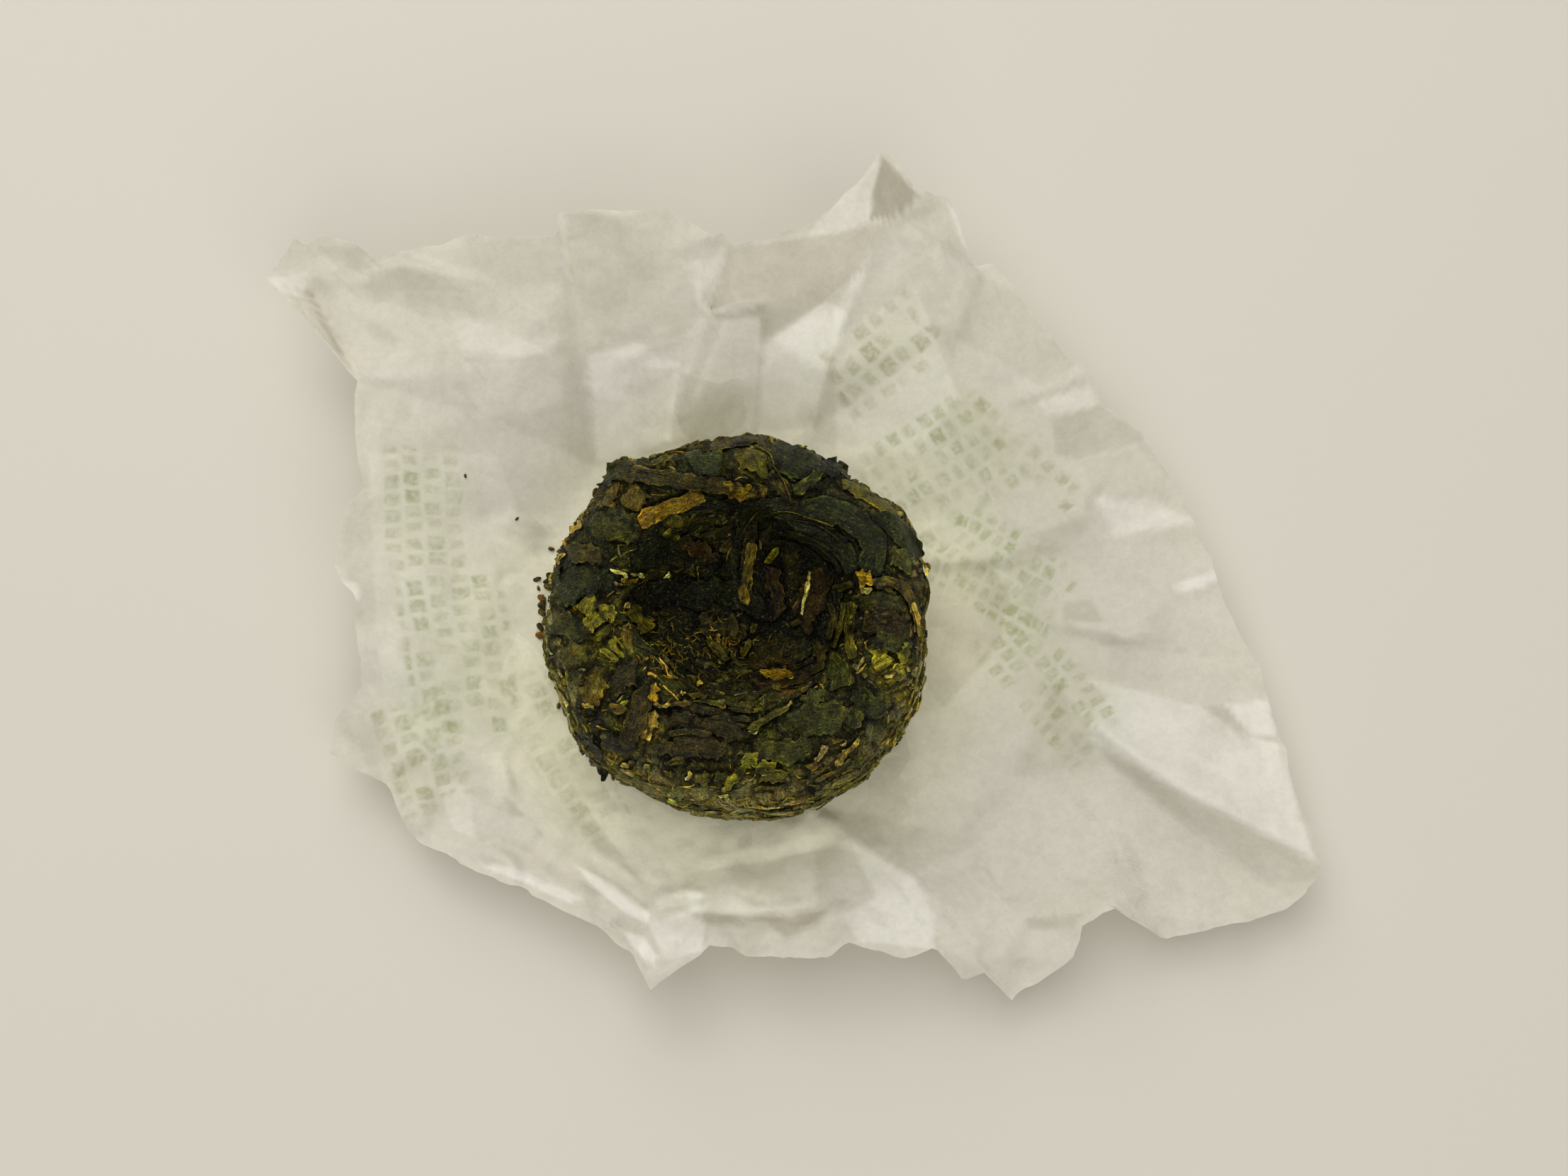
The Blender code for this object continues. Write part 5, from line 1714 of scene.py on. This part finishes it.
def makeTissue(finish, field):
    # straight lines from the middle to points a short step apart on the outline, which a little
    # noise makes ragged, each carried over the height field. Its UV map is the distance run along
    # these lines, so the sheet is nearly flat in it.
    closed = np.concatenate([outlinePlaces, outlinePlaces[:1]])[:, :2]
    run = runAlong(closed)
    stops = np.linspace(0, run[-1], tissue["columns"], endpoint=False)
    edge = np.stack([np.interp(stops, run, closed[:, k]) for k in (0, 1)], -1)
    spots = np.concatenate([edge, 0 * edge[:, :1]], 1)
    ragged = sum(size * softNoise(spots, spacing, seed) for spacing, size, seed in tissue["raggedRim"])
    way = edge / np.linalg.norm(edge, axis=1, keepdims=True)
    reach = np.linalg.norm(edge, axis=1) + ragged
    footShare = np.linspace(0, 1, tissue["footRows"], endpoint=False)[1:, None]
    outShare = np.linspace(0, 1, tissue["rows"])[:, None] ** tissue["rowCrowding"]
    foot = tissue["foot"] + tissue["calmFoot"][0]
    radius = np.concatenate([foot * footShare + 0 * reach, foot + outShare * (reach - foot)])
    x, y = radius * way[:, 0], radius * way[:, 1]
    grid = np.stack([x, y, sampleField(field, x, y)], -1)
    rows, columns = radius.shape
    places = np.concatenate([grid.reshape(-1, 3), np.zeros((1, 3))])
    steps = np.linalg.norm(np.diff(grid, axis=0, prepend=0.0), axis=2)
    arc = np.cumsum(steps, axis=0)[..., None] * way
    flat = np.concatenate([arc.reshape(-1, 2), np.zeros((1, 2))])
    quads, triangles = shellFaces(1, rows, columns)
    fan = triangles[:columns]
    a, b, c = (places[quads[:, n]] for n in (0, 1, 2))
    if np.cross(b - a, c - a)[:, 2].sum() < 0:
        quads, fan = quads[:, ::-1], fan[:, ::-1]
    piece = meshPiece("tissueWrapper", places, quads, fan, finish, flat, facetPaintedShade(places))
    ends = np.empty(2 * len(piece.data.edges), np.int32)
    piece.data.edges.foreach_get("vertices", ends)
    ends = ends.reshape(-1, 2)
    atRim = (ends.min(1) >= (rows - 1) * columns) & (ends.max(1) < rows * columns)
    piece.data.attributes.new("sharp_edge", "BOOLEAN", "EDGE").data.foreach_set("value", atRim)
    wall = piece.modifiers.new("thickness", "SOLIDIFY")
    wall.thickness = tissue["thickness"] * mm
    wall.offset = 1.0
    return piece


paperLook = {
    "tone": (0.90, 0.885, 0.815),
    # near the nest the paper is yellower, a tint, and lighter: painted light that lifts the nest's shadow
    "innerTintAndLight": (0.985, 0.965, 0.72),
    "innerReach": (14.0, 27.0),
    "through": 0.46,  # share of light that goes through each face
    "throughNear": 0.05,  # the same beside the nest, where the sheet lies flat on the table
    "cloud": (240.0, 0.07, (0.62, 0.58, 0.46)),  # scale, share, tone
    "mottles": ((1500.0, 0.10), (3600.0, 0.08)),  # scales and shares
    "mottleTone": (0.56, 0.54, 0.46),
    "wrinkleScale": 260.0,
    "fineScale": 900.0,
    "fibreScale": 2600.0,
    "wrinkleRelief": 0.00030,
    "fineRelief": 0.00012,
    "fibreRelief": 0.00003,
    "roughness": 0.72,
    "shine": 0.3,
    "facetScales": (190.0, 520.0),  # creased facets finer than the mesh, per metre
    "facetTilt": (0.19, 0.13),
    "facetBend": (150.0, 0.004),  # scale and reach in m
    "printStrength": 0.56,
    "printLevel": 4.0,  # height at which the rows' middles are met
    "printStretch": 1.06,  # the flattened sheet is this much wider than it lies
    "blockPitch": 0.84,  # along a row, as a share of the rows' pitch
    "washShare": 0.20,  # the print tints the paper round it
    "washTone": (0.76, 0.79, 0.50),
}
# faded rows of print: middle pixel, half length along and across the rows in mm, the rows'
# direction in degrees, their pitch, and the tone
printBlocks = {
    "left upper rows": ((612, 735), (5.2, 3.6), -84.0, 1.80, (0.50, 0.52, 0.31)),
    "left middle rows": ((655, 925), (6.6, 4.6), -80.0, 1.90, (0.48, 0.52, 0.29)),
    "left lower rows": ((612, 1062), (4.0, 3.2), -68.0, 1.80, (0.52, 0.53, 0.30)),
    "near left rows": ((795, 1052), (7.6, 2.5), -58.0, 2.10, (0.54, 0.53, 0.32)),
    "right upper rows": ((1240, 520), (4.6, 3.4), 34.0, 2.05, (0.50, 0.48, 0.27)),
    "right middle rows": ((1315, 670), (5.8, 5.0), 30.0, 1.75, (0.47, 0.51, 0.26)),
    "right edge row": ((1425, 650), (6.6, 1.2), -46.0, 1.90, (0.52, 0.51, 0.30)),
    "right green rows": ((1395, 806), (5.6, 3.9), -34.0, 1.50, (0.46, 0.52, 0.22)),
    "right lower rows": ((1462, 962), (6.2, 3.4), -52.0, 1.65, (0.48, 0.51, 0.24)),
}


def printedOn(recipe, flat, colour, worn):
    # rows of small plain blocks of unequal width, soft at their edges and worn away in places.
    # Each group of rows has its own frame on the flattened sheet.
    for (px, py), half, turn, pitch, tone in printBlocks.values():
        place = atHeight(px, py, paperLook["printLevel"])[:2] * paperLook["printStretch"]
        ownFrame = {"Vector": flat, "Location": (*place, 0.0), "Rotation": (0.0, 0.0, math.radians(turn))}
        local = recipe.make("Mapping", ownFrame, vector_type="TEXTURE")
        bent = recipe.make("TexNoise", {"Vector": flat, "Scale": 0.45, "Detail": 1.0}, 1)
        local = recipe.mixed(0.35, local, bent, "LINEAR_LIGHT")
        across, down = (recipe.make("SeparateXYZ", {0: local}, k) for k in (0, 1))
        row = recipe.sums("FLOOR", down / pitch)
        inRow = down / pitch - row
        shift = recipe.make("TexWhiteNoise", {"W": row}, noise_dimensions="1D")
        placeInRow = across / (pitch * paperLook["blockPitch"]) + shift * 3.0
        glyph = recipe.sums("FLOOR", placeInRow)
        inGlyph = placeInRow - glyph
        key = recipe.make("CombineXYZ", {0: glyph, 1: row, 2: turn})
        chance = recipe.make("TexWhiteNoise", {"Vector": key}, noise_dimensions="3D")
        block = recipe.between(0.0, 0.22, inRow) * (1 - recipe.between(0.70, 0.95, inRow))
        blockEnd = recipe.between(0.45 + 0.40 * chance, 0.62 + 0.38 * chance, inGlyph)
        block = block * recipe.between(0.0, 0.20, inGlyph) * (1 - blockEnd)
        block = block * (0.45 + 0.75 * chance) * (chance > 0.12)
        strokes = recipe.noise(recipe.make("Mapping", {"Vector": local, "Scale": (1.9, 1.9, 1.0)}), 1.0, 1.0)
        block = block * (0.45 + 0.55 * recipe.between(0.36, 0.58, strokes))
        sideX, sideY = recipe.sums("ABSOLUTE", across), recipe.sums("ABSOLUTE", down)
        wash = 1 - recipe.between(half[0] - 3.0, half[0] + 3.5, sideX)
        wash = wash * (1 - recipe.between(half[1] - 3.0, half[1] + 3.5, sideY))
        colour = recipe.mixed(wash * paperLook["washShare"], colour, paperLook["washTone"])
        block = block * (1 - recipe.between(half[0] - 0.5, half[0] + 0.5, sideX + 1.8 * (shift - 0.5)))
        block = block * (1 - recipe.between(half[1] - 0.3, half[1] + 0.3, sideY))
        colour = recipe.mixed(block * worn * paperLook["printStrength"], colour, tone)
    return colour


def paperMaterial():
    # thin soft paper: some light passes through both of its faces; fine wrinkles and cloudy fibre. Near the
    # nest it is yellower and lighter, a tint with painted light, and its facets carry painted shade and light
    recipe = Recipe("tissuePaper")
    place = recipe.place()
    flat = recipe.make("UVMap", uv_map="flatPlace")
    facetShade = recipe.make("Attribute", attribute_name="tone")
    cloudScale, cloudShare, cloudTone = paperLook["cloud"]
    cloud = recipe.noise(place, cloudScale, 3.0, 0.6)
    fibre = recipe.noise(place, paperLook["fibreScale"], 3.0, 0.7)
    away = recipe.vectors("LENGTH", flat, output=1)
    near = 1 - recipe.between(*paperLook["innerReach"], away + 6.0 * (recipe.noise(flat, 0.12, 2.0) - 0.5))
    # near the nest: yellow tint and painted light against the nest's shadow
    colour = recipe.mixed(near, paperLook["tone"], paperLook["innerTintAndLight"])
    colour = recipe.mixed(recipe.between(0.35, 0.7, cloud) * cloudShare, colour, cloudTone)
    for scale, strength in paperLook["mottles"]:
        mottle = recipe.between(0.36, 0.66, recipe.noise(place, scale, 2.0, 0.6))
        colour = recipe.mixed(mottle * strength, colour, paperLook["mottleTone"])
    worn = 0.30 + 0.70 * recipe.between(0.34, 0.62, recipe.noise(flat, 0.30, 3.0, 0.6))
    colour = printedOn(recipe, flat, colour, worn)
    # the facets' painted shade and painted light
    colour = recipe.mixed(1.0, colour, facetShade, "MULTIPLY")
    ridges = {"Vector": place, "Scale": paperLook["wrinkleScale"], "Detail": 2.0}
    wrinkle = recipe.make("TexNoise", ridges, noise_type="RIDGED_MULTIFRACTAL")
    fine = recipe.noise(place, paperLook["fineScale"], 3.0, 0.6)
    normal = recipe.make("NewGeometry", output=1)
    bendScale, bend = paperLook["facetBend"]
    bent = recipe.make("TexNoise", {"Vector": place, "Scale": bendScale, "Detail": 2.0}, 1)
    bent = recipe.vectors("MULTIPLY_ADD", bent, (bend, bend, bend), place)
    for scale, tilt in zip(paperLook["facetScales"], paperLook["facetTilt"]):
        facet = recipe.make("TexVoronoi", {"Vector": bent, "Scale": scale}, 1)
        facet = recipe.vectors("SUBTRACT", facet, (0.5, 0.5, 0.5))
        normal = recipe.vectors("MULTIPLY_ADD", facet, (tilt, tilt, tilt), normal)
    normal = recipe.vectors("NORMALIZE", normal)
    normal = recipe.bump(wrinkle, paperLook["wrinkleRelief"], 0.35, normal)
    normal = recipe.bump(fine, paperLook["fineRelief"], 0.5, normal)
    normal = recipe.bump(fibre, paperLook["fibreRelief"], 0.35, normal)
    paper = recipe.surface(colour, paperLook["roughness"], paperLook["shine"], normal)
    glow = recipe.make("BsdfTranslucent", {"Color": colour, "Normal": normal})
    through = paperLook["through"] - near * (paperLook["through"] - paperLook["throughNear"])
    return recipe.finish(recipe.make("MixShader", {0: through, 1: paper, 2: glow}))


paperField = tissueField()
wrapper = makeTissue(paperMaterial(), paperField)
print("tissue laid")

# Loose crumbs beside the nest: pixel, length in mm, tone
looseCrumbs = {
    "left specks": [
        (779, 777, 0.6, "bark"), (761, 823, 0.8, "umber"), (763, 836, 0.5, "bark"),
        (734, 741, 0.45, "umber"), (668, 692, 0.4, "umber"),
    ],
    "near left bits": [
        (826, 1056, 0.9, "umber"), (838, 1072, 1.0, "slate"), (850, 1086, 0.9, "umber"),
        (866, 1098, 0.7, "bark"), (880, 1104, 0.6, "umber"),
    ],
    "right bits": [
        (1307, 806, 0.7, "bark"), (1288, 1005, 0.6, "umber"), (1270, 1036, 0.7, "umber"),
        (1222, 1096, 0.7, "umber"),
    ],
}
crumbGrid = {"seed": 9, "along": 7, "around": 8}
# Crumbs strewn along the nest's edge: the line's pixels, spread, count, lengths in mm. Many lie
# further in, under its overhanging side, by a mean of this many pixels and at most this many.
strewn = {
    "left edge": (
        [(776, 816), (767, 846), (765, 872), (768, 900), (775, 934), (785, 970), (800, 1006)],
        3.6, 84, (0.3, 1.0),
    ),
    "near left edge": ([(800, 1006), (822, 1050), (846, 1084)], 3.0, 26, (0.3, 0.8)),
    "near edge": ([(880, 1106), (930, 1132), (985, 1150)], 2.0, 12, (0.2, 0.5)),
}
strewnInward = {"nestMiddle": (1040, 880), "mean": 20.0, "most": 60.0}
strewnMix = {"umber": 0.36, "bark": 0.26, "rust": 0.14, "olive": 0.14, "tan": 0.10}


def strewnSpots(draw):
    # chance places along each line, moved inwards by an exponential share
    spots = []
    for line, spread, count, lengths in strewn.values():
        middle = throughPoints(line, draw.random(count)) + draw.normal(0, spread, (count, 2))
        inward = np.array(strewnInward["nestMiddle"]) - middle
        inward /= np.linalg.norm(inward, axis=1, keepdims=True)
        shift = np.minimum(draw.exponential(strewnInward["mean"], count), strewnInward["most"])
        middle = middle + inward * shift[:, None]
        names = draw.choice(list(strewnMix), count, p=list(strewnMix.values()))
        spots += list(zip(middle[:, 0], middle[:, 1], draw.uniform(*lengths, count), names))
    return spots


def makeCrumbs(finish, field):
    # small uneven lumps that lie on the wrapper: round rings along a short line, bent by noise
    draw = np.random.default_rng(crumbGrid["seed"])
    spots = [spot for group in looseCrumbs.values() for spot in group] + strewnSpots(draw)
    share = np.linspace(0.06, 0.94, crumbGrid["along"])
    turn = roundSteps(crumbGrid["around"])
    rings, flats, colours = [], [], []
    for index, (px, py, length, toneName) in enumerate(spots):
        place = atHeight(px, py, 0.6)
        ground = float(sampleField(field, place[0], place[1]))
        way = draw.uniform(0, 2 * math.pi)
        half = 0.5 * length * draw.uniform(0.45, 0.7) * np.sqrt(1 - (2 * share - 1) ** 2)[:, None]
        spot = np.stack(np.broadcast_arrays(share[:, None] * 3, turn[None] * 1.3, float(index)), -1)
        half = half * (1 + 0.35 * softNoise(spot, 0.8, 14))
        a = length * (share - 0.5)[:, None] + 0 * half
        b, c = half * np.cos(turn), half * np.sin(turn) * 0.8
        x = place[0] + a * math.cos(way) - b * math.sin(way)
        y = place[1] + a * math.sin(way) + b * math.cos(way)
        rings.append(np.stack([x, y, ground + tissue["thickness"] + 0.5 * length * 0.4 + c], -1))
        flats.append(np.stack([a, b], -1))
        colours.append(np.broadcast_to(leafTone[toneName], rings[-1].shape))
    return shellPiece("looseCrumbs", np.array(rings), finish, np.array(flats), np.array(colours))


crumbs = makeCrumbs(leafFinish, paperField)
print("crumbs dropped")

for piece in [*nestPieces, wrapper, crumbs]:
    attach(piece, "root")
for piece in nestPieces:
    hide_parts("tuocha")
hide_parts("wrapper")

studio = {
    "floorTone": (0.665, 0.648, 0.58),
    "cloudTone": (0.72, 0.69, 0.60),
    "cloudShare": 0.12,
    "cloudScale": 14.0,
    "floorRoughness": 0.7,
    "floorShine": 0.2,
    "floorReach": 2500.0,
    "floorLevel": -0.02,
    "lamps": {
        "overhead": {
            "from": (-0.22, 0.30, 1.0), "distance": 520.0, "size": 520.0, "power": 1.02,
            "tone": (1.0, 0.965, 0.92),
        },
        "farSide": {
            "from": (-0.22, 0.80, 0.66), "distance": 560.0, "size": 460.0, "power": 1.0,
            "tone": (1.0, 0.965, 0.92),
        },
        "nearSide": {
            "from": (0.30, -0.80, 0.75), "distance": 800.0, "size": 800.0, "power": 2.25,
            "tone": (1.0, 0.98, 0.94),
        },
    },
    "fill": 0.35,
    "fillTone": (1.0, 0.975, 0.93),
}


def makeFloor():
    # a wide pale square a little below the wrapper, faintly clouded
    recipe = Recipe("paleFloor")
    cloud = recipe.noise(recipe.place(), studio["cloudScale"], 3.0, 0.5)
    colour = recipe.mixed(cloud * studio["cloudShare"], studio["floorTone"], studio["cloudTone"])
    finish = recipe.finish(recipe.surface(colour, studio["floorRoughness"], studio["floorShine"]))
    reach, level = studio["floorReach"], studio["floorLevel"]
    corners = [(-reach, -reach, level), (reach, -reach, level), (reach, reach, level), (-reach, reach, level)]
    floor = meshPiece("floor", np.array(corners), np.array([[0, 1, 2, 3]]), np.zeros((0, 3), int), finish)
    return floor


floor = makeFloor()


def hangLamp(name, settings):
    # a soft round lamp that faces the middle of the table
    lamp = bpy.data.lights.new(name, "AREA")
    lamp.shape = "DISK"
    lamp.size = settings["size"] * mm
    lamp.energy = settings["power"]
    lamp.color = settings["tone"]
    holder = bpy.data.objects.new(name, lamp)
    toward = Vector(settings["from"]).normalized()
    holder.location = toward * settings["distance"] * mm
    holder.rotation_euler = toward.to_track_quat("Z", "Y").to_euler()
    bpy.context.scene.collection.objects.link(holder)


for lampName, lampSettings in studio["lamps"].items():
    hangLamp(lampName, lampSettings)

world = bpy.data.worlds.new("softRoom")
world.use_nodes = True
background = world.node_tree.nodes["Background"]
background.inputs["Color"].default_value = (*studio["fillTone"], 1.0)
background.inputs["Strength"].default_value = studio["fill"]
bpy.context.scene.world = world
bpy.context.scene.view_settings.view_transform = "Standard"

lens = bpy.data.cameras.new("photoView")
lens.lens = view["lens"]
lens.sensor_width = view["sensor"]
lens.clip_start = 0.005
camera = bpy.data.objects.new("photoView", lens)
camera.location = Vector(eye * mm)
camera.rotation_euler = (math.radians(90 - view["elevation"]), 0.0, 0.0)
bpy.context.scene.collection.objects.link(camera)
bpy.context.scene.camera = camera
print("studio set")
